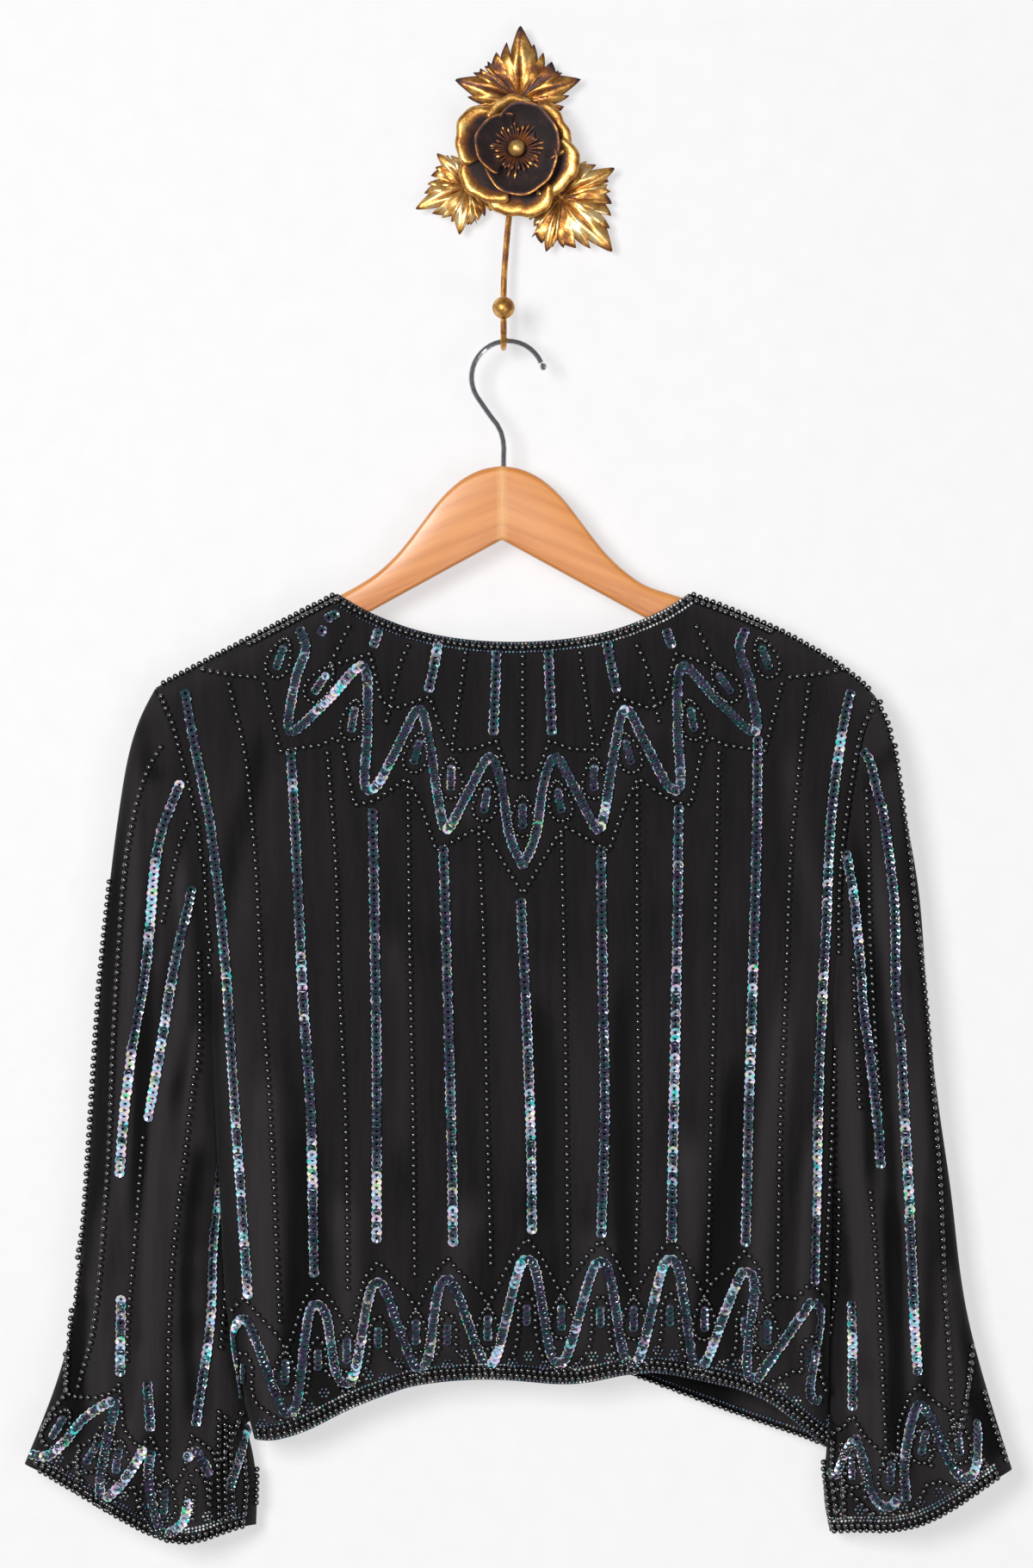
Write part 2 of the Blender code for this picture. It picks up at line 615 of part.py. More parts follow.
def tube(name, path, radius, finish_name, guide=None, sides=8):
    """Round tube along a path of points, with flat ends. The guide is a direction the path never takes."""
    bm = bmesh.new()
    loops = []
    for k, point in enumerate(path):
        ahead = (path[min(k + 1, len(path) - 1)] - path[max(k - 1, 0)]).normalized()
        side = ahead.cross(guide or Vector((0, 1, 0))).normalized()
        other = ahead.cross(side)
        loops.append([bm.verts.new((point + (side * cos(2 * pi * s / sides) + other * sin(2 * pi * s / sides))
                                    * radius) * MM) for s in range(sides)])
    for a, b in zip(loops, loops[1:]):
        for k in range(sides):
            m = (k + 1) % sides
            bm.faces.new((a[k], a[m], b[m], b[k]))
    bm.faces.new(loops[0])
    bm.faces.new(loops[-1])
    return add_object(name, bm, finish_name)


def ball(name, centre, radius, finish_name, segments=12, rings=8):
    bm = bmesh.new()
    bmesh.ops.create_uvsphere(bm, u_segments=segments, v_segments=rings, radius=radius * MM)
    bmesh.ops.translate(bm, verts=bm.verts, vec=Vector(centre) * MM)
    return add_object(name, bm, finish_name)


def smooth_path(points, count):
    """Even points on a smooth curve through a few 3-D points."""
    lengths = [0.0]
    for a, b in zip(points, points[1:]):
        lengths.append(lengths[-1] + (Vector(b) - Vector(a)).length)
    return [Vector(smooth_line(lengths, [p[i] for p in points], lengths[-1] * k / count) for i in range(3))
            for k in range(count + 1)]


def loop_point(angle):
    return Vector((LOOP_X + LOOP_R * cos(radians(angle)), MIDDLE_Y, LOOP_Z + LOOP_R * sin(radians(angle))))


def make_hanger_hook():
    arc = [loop_point(LOOP_FROM + (LOOP_TO - LOOP_FROM) * k / 20) for k in range(21)]
    throat = [tuple(arc[-1]), (-15.5, MIDDLE_Y, -155.5), (-9.8, MIDDLE_Y, -163.5), (HANGER_X, MIDDLE_Y, -172),
              (HANGER_X, MIDDLE_Y, -180), (HANGER_X, MIDDLE_Y, BORE_FOOT + FIT_GAP)]
    path = arc + smooth_path(throat, 12)[1:]
    tube("hanger_hook", path, WIRE_R, "chrome_wire")
    tangent = (arc[0] - arc[1]).normalized()
    ball("hook_tip", arc[0] + tangent * (TIP_R + FIT_GAP), TIP_R, "chrome_wire", 10, 6)


ROD_R = 1.8
ROD_X = -7.5            # the leg hangs straight above the hanger's neck
ROD_LEG_Y = -14.0
BEND_R = 12.0           # the wall hook's open bend
BEND_Z = -104.2
BALL_R = 6.5            # ball on the end of the bend
BALL_Z = -94.0
HUB_R = 8.0
HUB_FRONT = -16.0
PLATE_R = 17.0          # round plate on the wall
PLATE_T = 5.0


def make_rod():
    leg = [(-1.5, -10.5, -HUB_R - FIT_GAP), (-2.5, -10.8, -20), (-5.5, -13.2, -50), (ROD_X, ROD_LEG_Y, -80),
           (ROD_X, ROD_LEG_Y, BEND_Z)]
    bend_y = ROD_LEG_Y - BEND_R
    bend = [Vector((ROD_X, bend_y + BEND_R * cos(radians(a)), BEND_Z - BEND_R * sin(radians(a))))
            for a in range(15, 181, 15)]
    end = Vector((ROD_X, bend_y - BEND_R, BALL_Z - BALL_R - FIT_GAP))
    tube("hook_rod", smooth_path(leg, 10) + bend + [end], ROD_R, "gilt_metal", Vector((1, 0, 0)))
    ball("hook_ball", (ROD_X, bend_y - BEND_R, BALL_Z), BALL_R, "gilt_metal", 12, 8)


def make_plate():
    """Round plate against the wall, with the hub that carries the leaves and petals."""
    bm = bmesh.new()
    profile = [(PLATE_R, 0), (PLATE_R, -PLATE_T), (HUB_R, -PLATE_T), (HUB_R, HUB_FRONT)]
    segments = 24
    rings = []
    for radius, y in profile:
        rings.append([bm.verts.new(Vector((radius * cos(2 * pi * s / segments), y,
                                           radius * sin(2 * pi * s / segments))) * MM) for s in range(segments)])
    for a, b in zip(rings, rings[1:]):
        for s in range(segments):
            m = (s + 1) % segments
            bm.faces.new((a[s], a[m], b[m], b[s]))
    bm.faces.new(rings[0])
    bm.faces.new(rings[-1])
    add_object("wall_plate", bm, "gilt_metal")


def dish(name, centre, reach, height, finish_name, spokes, rings, thickness):
    """A thin disc of varying reach: a leaf or a whorl of petals. Reach and height are functions."""
    bm = bmesh.new()

    def sheet(offset):
        heart = bm.verts.new(Vector((centre[0], height(0, 0) + offset, centre[1])) * MM)
        loops = []
        for ring in range(1, rings + 1):
            share = ring / rings
            loops.append([])
            for s in range(spokes):
                angle = 2 * pi * s / spokes
                out = reach(angle) * share
                loops[-1].append(bm.verts.new(Vector((centre[0] + out * cos(angle),
                                                      height(share, angle) + offset,
                                                      centre[1] + out * sin(angle))) * MM))
        for s in range(spokes):
            m = (s + 1) % spokes
            bm.faces.new((heart, loops[0][s], loops[0][m]))
            for a, b in zip(loops, loops[1:]):
                bm.faces.new((a[s], a[m], b[m], b[s]))
        return loops[-1]

    front, back = sheet(-thickness / 2), sheet(thickness / 2)
    for s in range(spokes):
        m = (s + 1) % spokes
        bm.faces.new((front[s], front[m], back[m], back[s]))
    bmesh.ops.triangulate(bm, faces=bm.faces)
    return add_object(name, bm, finish_name)


# Leaves: where the veins meet, lobes as (direction, length, narrowness), and the number of teeth
Leaf = namedtuple("Leaf", "name x z lobes")
LEAVES = [
    Leaf("leaf_top", 1.0, 32.0, [(88, 42, 2.0), (140, 40, 2.2), (38, 42, 2.2), (176, 34, 2.4), (4, 34, 2.4)]),
    Leaf("leaf_lower_left", -28.0, -17.0, [(203, 34, 2.4), (255, 30, 2.8), (150, 22, 2.8), (300, 18, 3.2)]),
    Leaf("leaf_lower_right", 25.0, -27.0, [(316, 45, 2.2), (22, 36, 2.6), (262, 32, 2.8), (350, 34, 3.2)]),
]
LEAF_SPOKES = 44
LEAF_WALL = 1.2
STALK_HALF = 3.0        # half width of the stalk that runs in to the hub
STALK_ANGLE = 26.0      # the stalk takes up this much each side of the direction to the hub
LEAF_LEAST = 7.0        # the leaf is nowhere narrower than this
TOOTH = 0.88            # every other spoke is this much shorter
LEAF_Y = -9.0
LEAF_ARCH = 3.5         # the blade arches forward by this at half its length
VEIN_LIFT = 2.4         # the veins' ends bend back by this
VEIN_WIDTH = 18.0


def turn(angle, towards):
    """Signed angle between two directions, in degrees."""
    return (angle - towards + 180) % 360 - 180


def home_angle(leaf):
    """Direction from the leaf's heart to the hub."""
    return degrees(atan2(-leaf.z, -leaf.x))


def leaf_reach(leaf, angle):
    off = abs(turn(degrees(angle), home_angle(leaf)))
    if off < STALK_ANGLE:
        off = radians(off)
        to_hub = hypot(leaf.x, leaf.z)
        square_on = (to_hub * cos(off) - HUB_R - FIT_GAP) / max(cos(off), 0.5)
        return max(min(square_on, STALK_HALF / max(sin(off), 0.02)), LEAF_LEAST)
    longest = LEAF_LEAST
    for towards, length, narrow in leaf.lobes:
        off = radians(turn(degrees(angle), towards)) * narrow
        if abs(off) < pi / 2:
            longest = max(longest, length * cos(off) ** 0.8)
    return longest * (TOOTH if round(angle * LEAF_SPOKES / (2 * pi)) % 2 else 1.0)


def leaf_height(leaf, share, angle):
    vein = max(max(1 - abs(turn(degrees(angle), towards)) / VEIN_WIDTH, 0) for towards, length, narrow in leaf.lobes)
    outward = min(abs(turn(degrees(angle), home_angle(leaf))) / 60, 1)
    return LEAF_Y + (VEIN_LIFT * vein * share - LEAF_ARCH * sin(pi * share)) * outward


# Whorls in front of the hub: distance in front, radius, notch depth, notches round, cup depth and its curve,
# wave of the rim
Whorl = namedtuple("Whorl", "name front radius notch notches turned cup curve wave waves finish spokes rings")
WHORLS = [
    Whorl("petals_outer", 0.9, 36.0, 0.14, 5, 0.3, 15.0, 1.7, 1.8, 5, "gilt_metal", 30, 4),
    Whorl("petals_inner", 2.5, 23.5, 0.07, 3, -0.2, 17.0, 1.5, 0.8, 3, "dark_gilt", 24, 4),
    Whorl("stamens", 4.6, 14.0, 0.06, 12, 0.0, 9.5, 1.5, 0.8, 12, "dark_gilt", 24, 2),
]
CENTRE_R = 4.7
CENTRE_FRONT = 11.0     # the ball's centre stands this far in front of the hub


def whorl_reach(whorl, angle):
    return whorl.radius * (1 - whorl.notch * (0.5 - 0.5 * cos(whorl.notches * (angle - whorl.turned))))


def whorl_height(whorl, share, angle):
    cup = whorl.cup * share ** whorl.curve
    wave = whorl.wave * share * share * cos(whorl.waves * (angle - whorl.turned))
    return HUB_FRONT - whorl.front - cup + wave


def make_flower():
    for leaf in LEAVES:
        dish(leaf.name, (leaf.x, leaf.z), lambda a, leaf=leaf: leaf_reach(leaf, a),
             lambda s, a, leaf=leaf: leaf_height(leaf, s, a), "gilt_metal", LEAF_SPOKES, 3, LEAF_WALL)
    for whorl in WHORLS:
        dish(whorl.name, (0, 0), lambda a, whorl=whorl: whorl_reach(whorl, a),
             lambda s, a, whorl=whorl: whorl_height(whorl, s, a), whorl.finish, whorl.spokes, whorl.rings, LEAF_WALL)
    ball("flower_centre", (0, HUB_FRONT - CENTRE_FRONT, 0), CENTRE_R, "gilt_metal", 10, 6)


def main():
    clear_scene()
    make_back()
    for side in ("left", "right"):
        make_front(side)
        make_sleeve(side)
    make_hanger()
    make_hanger_hook()
    make_plate()
    make_rod()
    make_flower()


main()
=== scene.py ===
from collections import namedtuple
from math import cos, exp, pi, radians, sin
from random import Random

import bmesh
import bpy
import numpy as np
from mathutils import Matrix, Vector
from mathutils.bvhtree import BVHTree
from mathutils.noise import noise


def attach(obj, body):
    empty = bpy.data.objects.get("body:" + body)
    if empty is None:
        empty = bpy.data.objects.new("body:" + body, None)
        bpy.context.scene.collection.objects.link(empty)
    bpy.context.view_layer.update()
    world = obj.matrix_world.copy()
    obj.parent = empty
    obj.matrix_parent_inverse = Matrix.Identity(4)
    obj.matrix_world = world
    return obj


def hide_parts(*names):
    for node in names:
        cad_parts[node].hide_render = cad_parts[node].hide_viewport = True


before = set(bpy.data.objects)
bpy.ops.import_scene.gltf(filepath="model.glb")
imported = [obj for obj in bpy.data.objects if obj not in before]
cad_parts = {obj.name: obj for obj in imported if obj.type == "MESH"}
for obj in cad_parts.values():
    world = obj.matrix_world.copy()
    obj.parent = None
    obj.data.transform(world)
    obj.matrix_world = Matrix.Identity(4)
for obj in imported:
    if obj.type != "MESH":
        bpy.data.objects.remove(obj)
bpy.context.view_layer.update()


# Cloth of the jacket
# Black georgette, a thin crinkled crepe that is cut in five pieces: back, two fronts, two sleeves.
# Each piece is a thin closed shell on its solid's form, with its creases raised or sunk.
# Its colour carries painted light on the ridges of folds and painted shade in their troughs.
MM = 0.001


def table(columns, *rows):
    """Rows with named columns."""
    row = namedtuple("Row", columns)
    return [row(*values) for values in rows]


def placed(name, data):
    """A new object in the scene."""
    made = bpy.data.objects.new(name, data)
    bpy.context.scene.collection.objects.link(made)
    return made


def mesh_of(bm, name):
    mesh = bpy.data.meshes.new(name)
    bm.to_mesh(mesh)
    bm.free()
    return mesh


def baked(draft):
    """The mesh that an object's modifiers make."""
    bpy.context.view_layer.update()
    return bpy.data.meshes.new_from_object(draft.evaluated_get(bpy.context.evaluated_depsgraph_get()))


class Value:
    """A shader socket that plain arithmetic can be written with."""

    def __init__(self, paint, socket):
        self.paint = paint
        self.socket = socket

    def combine(self, operation, *terms):
        return self.paint.node("ShaderNodeMath", {"operation": operation}, dict(enumerate(terms)))

    def __add__(self, other):
        return self.combine("ADD", self, other)

    def __sub__(self, other):
        return self.combine("SUBTRACT", self, other)

    def __rsub__(self, other):
        return self.combine("SUBTRACT", other, self)

    def __mul__(self, other):
        return self.combine("MULTIPLY", self, other)

    def __abs__(self):
        return self.combine("ABSOLUTE", self)

    __radd__ = __add__
    __rmul__ = __mul__


class Paint:
    """A material with a Principled shader and the nodes that feed it."""

    def __init__(self, name, **constants):
        self.material = bpy.data.materials.new(name)
        self.material.use_nodes = True
        self.tree = self.material.node_tree
        self.shader = self.tree.nodes["Principled BSDF"]
        for socket, value in constants.items():
            self.shader.inputs[socket.replace("_", " ")].default_value = value

    def node(self, kind, settings=None, inputs=None, out=0):
        made = self.tree.nodes.new(kind)
        for key, value in (settings or {}).items():
            setattr(made, key, value)
        for key, value in (inputs or {}).items():
            self.feed(made.inputs[key], value)
        return Value(self, made.outputs[out])

    def feed(self, socket, value):
        if isinstance(value, Value):
            self.tree.links.new(value.socket, socket)
        else:
            socket.default_value = value

    def place(self, stretch=(1, 1, 1)):
        """Object coordinates, stretched."""
        where = self.node("ShaderNodeTexCoord", out="Object")
        return self.node("ShaderNodeMapping", None, {"Vector": where, "Scale": stretch})

    def axes(self):
        """The three object coordinates, in metres."""
        split = self.node("ShaderNodeSeparateXYZ", None, {0: self.node("ShaderNodeTexCoord", out="Object")})
        return [Value(self, split.socket.node.outputs[k]) for k in range(3)]

    def attribute(self, name):
        return self.node("ShaderNodeAttribute", {"attribute_name": name}, out="Fac")

    def noise(self, scale, detail=3.0, roughness=0.5, where=None):
        """Noise over the object, or over the place that is given."""
        return self.node("ShaderNodeTexNoise", None, {"Vector": where or self.place(), "Scale": scale,
                                                      "Detail": detail, "Roughness": roughness})

    def ramp(self, factor, stops):
        """A colour or grey ramp: stops are (place, colour)."""
        made = self.tree.nodes.new("ShaderNodeValToRGB")
        self.feed(made.inputs[0], factor)
        steps = made.color_ramp.elements
        while len(steps) < len(stops):
            steps.new(0.5)
        for step, (place, colour) in zip(steps, stops):
            step.position = place
            step.color = (*colour, 1) if len(colour) == 3 else colour
        return Value(self, made.outputs[0])

    def rise(self, factor, low, high):
        """0 up to the low place and 1 from the high one."""
        return self.ramp(factor, [(low, (0, 0, 0)), (high, (1, 1, 1))])

    def mix(self, factor, first, second):
        made = self.tree.nodes.new("ShaderNodeMix")
        made.data_type = "RGBA"
        for key, value in ((0, factor), (6, first), (7, second)):
            self.feed(made.inputs[key], value)
        return Value(self, made.outputs[2])

    def colour(self, value):
        self.feed(self.shader.inputs["Base Color"], value)

    def roughness(self, value):
        self.feed(self.shader.inputs["Roughness"], value)

    def metallic(self, value):
        self.feed(self.shader.inputs["Metallic"], value)

    def bump(self, height, distance, strength):
        inputs = {"Height": height, "Distance": distance, "Strength": strength}
        self.feed(self.shader.inputs["Normal"], self.node("ShaderNodeBump", None, inputs))


def georgette():
    """Near-black crepe: fine upright crinkles, with painted light that greys the ridges of folds and painted
    shade that darkens their troughs.
    """
    paint = Paint("georgette", Roughness=0.85, Sheen_Weight=0.06, Sheen_Roughness=0.5,
                  Specular_IOR_Level=0.12)
    ridge = paint.attribute("ridge")
    drift = paint.noise(9.0, 2.0)
    crinkle = paint.noise(420.0, 4.0, 0.6, paint.place((1.0, 1.0, 0.16)))
    broad = paint.noise(110.0, 3.0, 0.55, paint.place((1.0, 1.0, 0.10)))
    height = crinkle * 0.5 + broad
    # Colour: painted light on fold ridges and painted shade in fold troughs, with the crinkles and drift
    paint.colour(paint.ramp(ridge * 0.62 + height * 0.30 + drift * 0.08, [
        (0.26, (0.0014, 0.0013, 0.0015)), (0.46, (0.0047, 0.0041, 0.0045)), (0.59, (0.0102, 0.0088, 0.0097)),
        (0.74, (0.0168, 0.0146, 0.0160)), (0.90, (0.0250, 0.0216, 0.0238))]))
    paint.bump(height, 0.0010, 0.8)
    return paint.material


# Creases: where each starts and ends, half of its width, and how high or deep it is
CREASES = {
    "back": table(
        "x z end_x end_z width height",
        (-150, -330, -172, -470, 7, -0.9), (-140, -520, -150, -730, 9, 2.2),
        (-120, -560, -132, -735, 7, -1.8), (-96, -600, -104, -725, 9, 1.6), (-70, -440, -66, -600, 10, 1.0),
        (-30, -600, -38, -712, 11, 1.4), (12, -480, 14, -640, 9, -1.2), (44, -620, 36, -712, 12, 1.2),
        (66, -460, 60, -700, 8, -1.3), (100, -560, 92, -712, 10, 1.6), (126, -520, 112, -715, 8, -1.8),
        (152, -480, 140, -722, 8, 2.0), (160, -340, 178, -480, 8, 0.9), (-60, -330, -20, -400, 12, 0.7),
        (90, -320, 40, -390, 12, 0.6), (172, -560, 168, -735, 6, 1.8),
    ),
    "front_left": table(
        "x z end_x end_z width height",
        (-140, -480, -128, -730, 9, 1.8), (-108, -420, -100, -720, 10, -1.5),
        (-70, -520, -62, -710, 9, 1.6), (-30, -450, -28, -700, 8, -1.2),
    ),
    "front_right": table(
        "x z end_x end_z width height",
        (150, -470, 146, -735, 9, 1.9), (112, -430, 108, -725, 9, -1.6), (74, -520, 70, -712, 9, 1.5),
        (30, -460, 34, -700, 8, -1.2),
    ),
    "sleeve_left": table(
        "x z end_x end_z width height",
        (-216, -350, -236, -620, 5, 1.4), (-204, -380, -226, -640, 5, -2.4),
        (-190, -400, -205, -560, 5, 2.2), (-199, -470, -214, -740, 6, 2.4),
        (-186, -560, -192, -760, 5, -2.6), (-176, -600, -172, -780, 6, 2.0),
        (-236, -600, -250, -740, 6, 1.8), (-248, -660, -262, -760, 6, -2.0),
        (-225, -330, -205, -372, 7, -1.0), (-214, -690, -226, -775, 7, 2.2),
    ),
    "sleeve_right": table(
        "x z end_x end_z width height",
        (212, -440, 217, -700, 5, -2.2), (200, -390, 206, -640, 5, -2.4), (192, -440, 200, -700, 6, 2.4),
        (226, -420, 240, -640, 6, 2.0), (214, -600, 226, -780, 6, -2.6), (232, -560, 240, -760, 6, -2.0),
        (198, -660, 194, -790, 6, 2.0), (246, -640, 262, -750, 7, 2.0), (222, -345, 203, -380, 7, -1.0),
        (268, -720, 276, -765, 6, -1.6),
    ),
}
RIM_ANGLE = radians(55)
CREASE_END = 0.22       # share of a crease's length over which it runs out at each end
BOW, BOW_TURN = 3.0, 5.0    # a crease's line bends aside by this much, over so much of a turn
# The fold measure below sets the painted light on ridges and the painted shade in troughs
RELIEF_STEPS = 60       # rounds of smoothing that a fold is measured against
RELIEF_FULL = 1.1       # a fold this high or deep, in millimetres, has its full tone
# How often each piece's grid is halved
PLIES = {"back": 3, "front_left": 2, "front_right": 2, "sleeve_left": 3, "sleeve_right": 3}
MIDDLE_Y = -26.0        # plane of the hanger, between the two layers
SLEEVE_BACK = 2.0       # a sleeve's middle lies this much nearer the wall
SLEEVE_HALF = 7.0       # and its sides this far from it


def smooth_step(share):
    share = np.clip(share, 0, 1)
    return share * share * (3 - 2 * share)


def crease_height(creases, x, z):
    """Soft ridges and troughs along short lines, run out at their ends."""
    total = np.zeros(len(x))
    for crease in creases:
        run = np.array([crease.end_x - crease.x, crease.end_z - crease.z], float)
        length = np.linalg.norm(run)
        run /= length
        along = ((x - crease.x) * run[0] + (z - crease.z) * run[1]) / length
        bow = BOW * np.sin(along * BOW_TURN + crease.x)
        across = (x - crease.x) * run[1] - (z - crease.z) * run[0] + bow
        ends = smooth_step(along / CREASE_END) * smooth_step((1 - along) / CREASE_END)
        total += crease.height * ends * np.exp(-(across / crease.width) ** 2)
    return total


def relief(mesh, depth):
    """How far each point stands in front of the cloth around it, in millimetres."""
    ends = np.empty(len(mesh.edges) * 2, int)
    mesh.edges.foreach_get("vertices", ends)
    first, second = ends.reshape(-1, 2).T
    size = len(depth)
    shared = np.bincount(first, minlength=size) + np.bincount(second, minlength=size)
    smooth = depth.copy()
    for step in range(RELIEF_STEPS):
        smooth = (np.bincount(first, smooth[second], size)
                  + np.bincount(second, smooth[first], size)) / shared
    return depth - smooth


TUCK_TOP, TUCK_FOOT, TUCK_STEP = -436.0, -748.0, 6.0
TUCK_OVERLAP = 4.0      # a sleeve's inner edge lies this far behind the body's side
TUCK_REACH = 16.0       # and this much of it moves
TUCK_START = 20.0       # it grows from nothing over this length


def tuck(points, side):
    """Slips a sleeve's inner edge behind the side of the body, where they part in the mesh."""
    body = np.array([vertex.co for vertex in CLOTHS["back"].data.vertices]) / MM * (side, 1, 1)
    sleeve = points / MM * (side, 1, 1)
    levels = np.arange(TUCK_TOP, TUCK_FOOT, -TUCK_STEP)
    inner, needed = [], []
    for level in levels:
        near_body = body[abs(body[:, 2] - level) < TUCK_STEP, 0]
        near_sleeve = sleeve[abs(sleeve[:, 2] - level) < TUCK_STEP, 0]
        inner.append(near_sleeve.min())
        needed.append(max(near_sleeve.min() - (near_body.max() - TUCK_OVERLAP), 0) if len(near_body) else 0)
    inner_x = np.interp(sleeve[:, 2], levels[::-1], inner[::-1])
    shift = np.interp(sleeve[:, 2], levels[::-1], needed[::-1], left=0, right=0)
    near_edge = np.exp(-((sleeve[:, 0] - inner_x) / TUCK_REACH) ** 2)
    shift *= near_edge * smooth_step((TUCK_TOP - sleeve[:, 2]) / TUCK_START)
    points[:, 0] -= side * shift * MM


def cloth_shell(name):
    """The solid's grid made finer and soft, then creased towards the side that it faces."""
    bm = bmesh.new()
    bm.from_mesh(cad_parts[name].data)
    bmesh.ops.remove_doubles(bm, verts=bm.verts, dist=0.00001)
    bmesh.ops.join_triangles(bm, faces=bm.faces, angle_face_threshold=pi, angle_shape_threshold=pi)
    keep = bm.edges.layers.float.new("crease_edge")
    for edge in bm.edges:
        if edge.calc_face_angle(0) > RIM_ANGLE:
            edge[keep] = 1.0
    draft = placed("draft", mesh_of(bm, name + "_cloth"))
    finer = draft.modifiers.new("finer", "SUBSURF")
    finer.levels = finer.render_levels = PLIES[name]
    soft = baked(draft)
    bpy.data.objects.remove(draft)
    points = np.empty(len(soft.vertices) * 3)
    soft.vertices.foreach_get("co", points)
    points = points.reshape(-1, 3)
    x, y, z = points.T / MM
    if name == "back":
        towards = -np.ones(len(x))
    elif name.startswith("front"):
        towards = np.ones(len(x))
    else:
        towards = np.clip((y - MIDDLE_Y - SLEEVE_BACK) / SLEEVE_HALF, -1, 1)
    points[:, 1] += crease_height(CREASES[name], x, z) * towards * MM
    if name.startswith("sleeve"):
        tuck(points, -1 if name.endswith("left") else 1)
    # Painted light and shade of the folds: how far each point stands out of the cloth around it
    stands = relief(soft, points[:, 1] / MM) * towards
    soft.attributes.new("ridge", "FLOAT", "POINT").data.foreach_set(
        "value", np.clip(0.5 + 0.5 * stands / RELIEF_FULL, 0, 1))
    soft.vertices.foreach_set("co", points.ravel())
    soft.materials.clear()
    soft.materials.append(CLOTH)
    soft.shade_smooth()
    soft.update()
    piece = placed(name + "_cloth", soft)
    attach(piece, "root")
    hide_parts(name)
    return piece


CLOTH = georgette()
CLOTHS = {}
for name in PLIES:
    CLOTHS[name] = cloth_shell(name)


# Beadwork
# Round black glass beads, cup sequins and small glass seed beads, sewn on singly or in close rows.
# Each is set on the cloth where a straight line from the side that it faces meets it.
Skin = namedtuple("Skin", "name tree facing")


def skin_of(name, facing, cloth):
    """A cloth seen from one side: facing is -1 for the room and 1 for the wall."""
    data = CLOTHS[cloth].data
    tree = BVHTree.FromPolygons([vertex.co for vertex in data.vertices],
                                [face.vertices[:] for face in data.polygons])
    return Skin(name, tree, facing)


def touch(skin, x, z):
    """Point and normal of the cloth at a place in millimetres, or None beside it."""
    place, normal, face, distance = skin.tree.ray_cast(Vector((x * MM, skin.facing, z * MM)),
                                                       Vector((0, -skin.facing, 0)))
    if place is None:
        return None
    if normal.y * skin.facing < 0:
        normal = -normal
    return place, normal


def curve(points, step=1.0):
    """Smooth line through a few points, as close places."""
    points = [np.array(p, float) for p in points]
    padded = [2 * points[0] - points[1]] + points + [2 * points[-1] - points[-2]]
    places = []
    for a, b, c, d in zip(padded, padded[1:], padded[2:], padded[3:]):
        count = max(int(np.linalg.norm(c - b) / step), 1)
        for k in range(count):
            t = k / count
            places.append(0.5 * (2 * b + (c - a) * t + (2 * a - 5 * b + 4 * c - d) * t * t
                                 + (3 * b - a - 3 * c + d) * t ** 3))
    return np.array(places + [points[-1]])


LOOK = 0.8              # a line's direction is taken over this much on each side


def paced(line, pitch):
    """Even places along a line, each with its direction."""
    steps = np.linalg.norm(np.diff(line, axis=0), axis=1)
    lengths = np.concatenate([[0], np.cumsum(steps)])
    count = max(int(round(lengths[-1] / pitch)), 1)
    at = (np.arange(count) + 0.5) * lengths[-1] / count
    here, back, ahead = ([np.interp(at + shift, lengths, line[:, axis]) for axis in (0, 1)]
                         for shift in (0, -LOOK, LOOK))
    return list(zip(*here, *np.subtract(ahead, back)))


def beside(line, distance):
    """The same line moved sideways, to the right of its direction."""
    ahead = np.gradient(line, axis=0)
    ahead /= np.maximum(np.linalg.norm(ahead, axis=1, keepdims=True), 1e-6)
    return line + np.stack([ahead[:, 1], -ahead[:, 0]], axis=1) * distance


def scatter_tree():
    """Geometry nodes that set one shape on every point, turned and sized by the point's attributes."""
    tree = bpy.data.node_groups.new("sewn_on", "GeometryNodeTree")
    for name, kind in (("Places", "Geometry"), ("Shape", "Object"), ("Finish", "Material")):
        tree.interface.new_socket(name, in_out="INPUT", socket_type="NodeSocket" + kind)
    tree.interface.new_socket("Geometry", in_out="OUTPUT", socket_type="NodeSocketGeometry")
    made = {name: tree.nodes.new(kind) for name, kind in (
        ("in", "NodeGroupInput"), ("out", "NodeGroupOutput"), ("shape", "GeometryNodeObjectInfo"),
        ("set", "GeometryNodeInstanceOnPoints"), ("turn", "GeometryNodeInputNamedAttribute"),
        ("size", "GeometryNodeInputNamedAttribute"), ("real", "GeometryNodeRealizeInstances"),
        ("finish", "GeometryNodeSetMaterial"), ("smooth", "GeometryNodeSetShadeSmooth"))}
    for name in ("turn", "size"):
        made[name].data_type = "FLOAT_VECTOR"
        made[name].inputs["Name"].default_value = name
    for source, output, target, socket in (
            ("in", "Places", "set", "Points"), ("in", "Shape", "shape", "Object"),
            ("shape", "Geometry", "set", "Instance"), ("turn", "Attribute", "set", "Rotation"),
            ("size", "Attribute", "set", "Scale"), ("set", "Instances", "real", "Geometry"),
            ("real", "Geometry", "finish", "Geometry"), ("in", "Finish", "finish", "Material"),
            ("finish", "Geometry", "smooth", "Geometry"), ("smooth", "Geometry", "out", "Geometry")):
        tree.links.new(made[source].outputs[output], made[target].inputs[socket])
    return tree


SEWN_ON = scatter_tree()
CHANCE = Random(7)
INWARD = 0.992          # what just misses the edge of the cloth is set this much nearer the middle
# Stretches of stripes with a painted highlight, where they catch the light: their middle, and half of their
# length
PAINTED_SHINES = table(
    "x z half",
    (-158, -600, 75), (-120, -590, 16), (-38, -618, 30), (-81, -610, 20), (8, -612, 26), (50, -625, 10),
    (92, -545, 85), (137, -480, 14), (136, -540, 12), (175, -590, 34), (188, -345, 12), (-212, -440, 16),
    (-226, -560, 42), (-207, -530, 40), (-229, -690, 30), (-179, -690, 30), (226, -590, 44), (197, -450, 22),
    (230, -690, 26), (196, -690, 20))
PAINTED_SHINE_WIDTH = 9.0
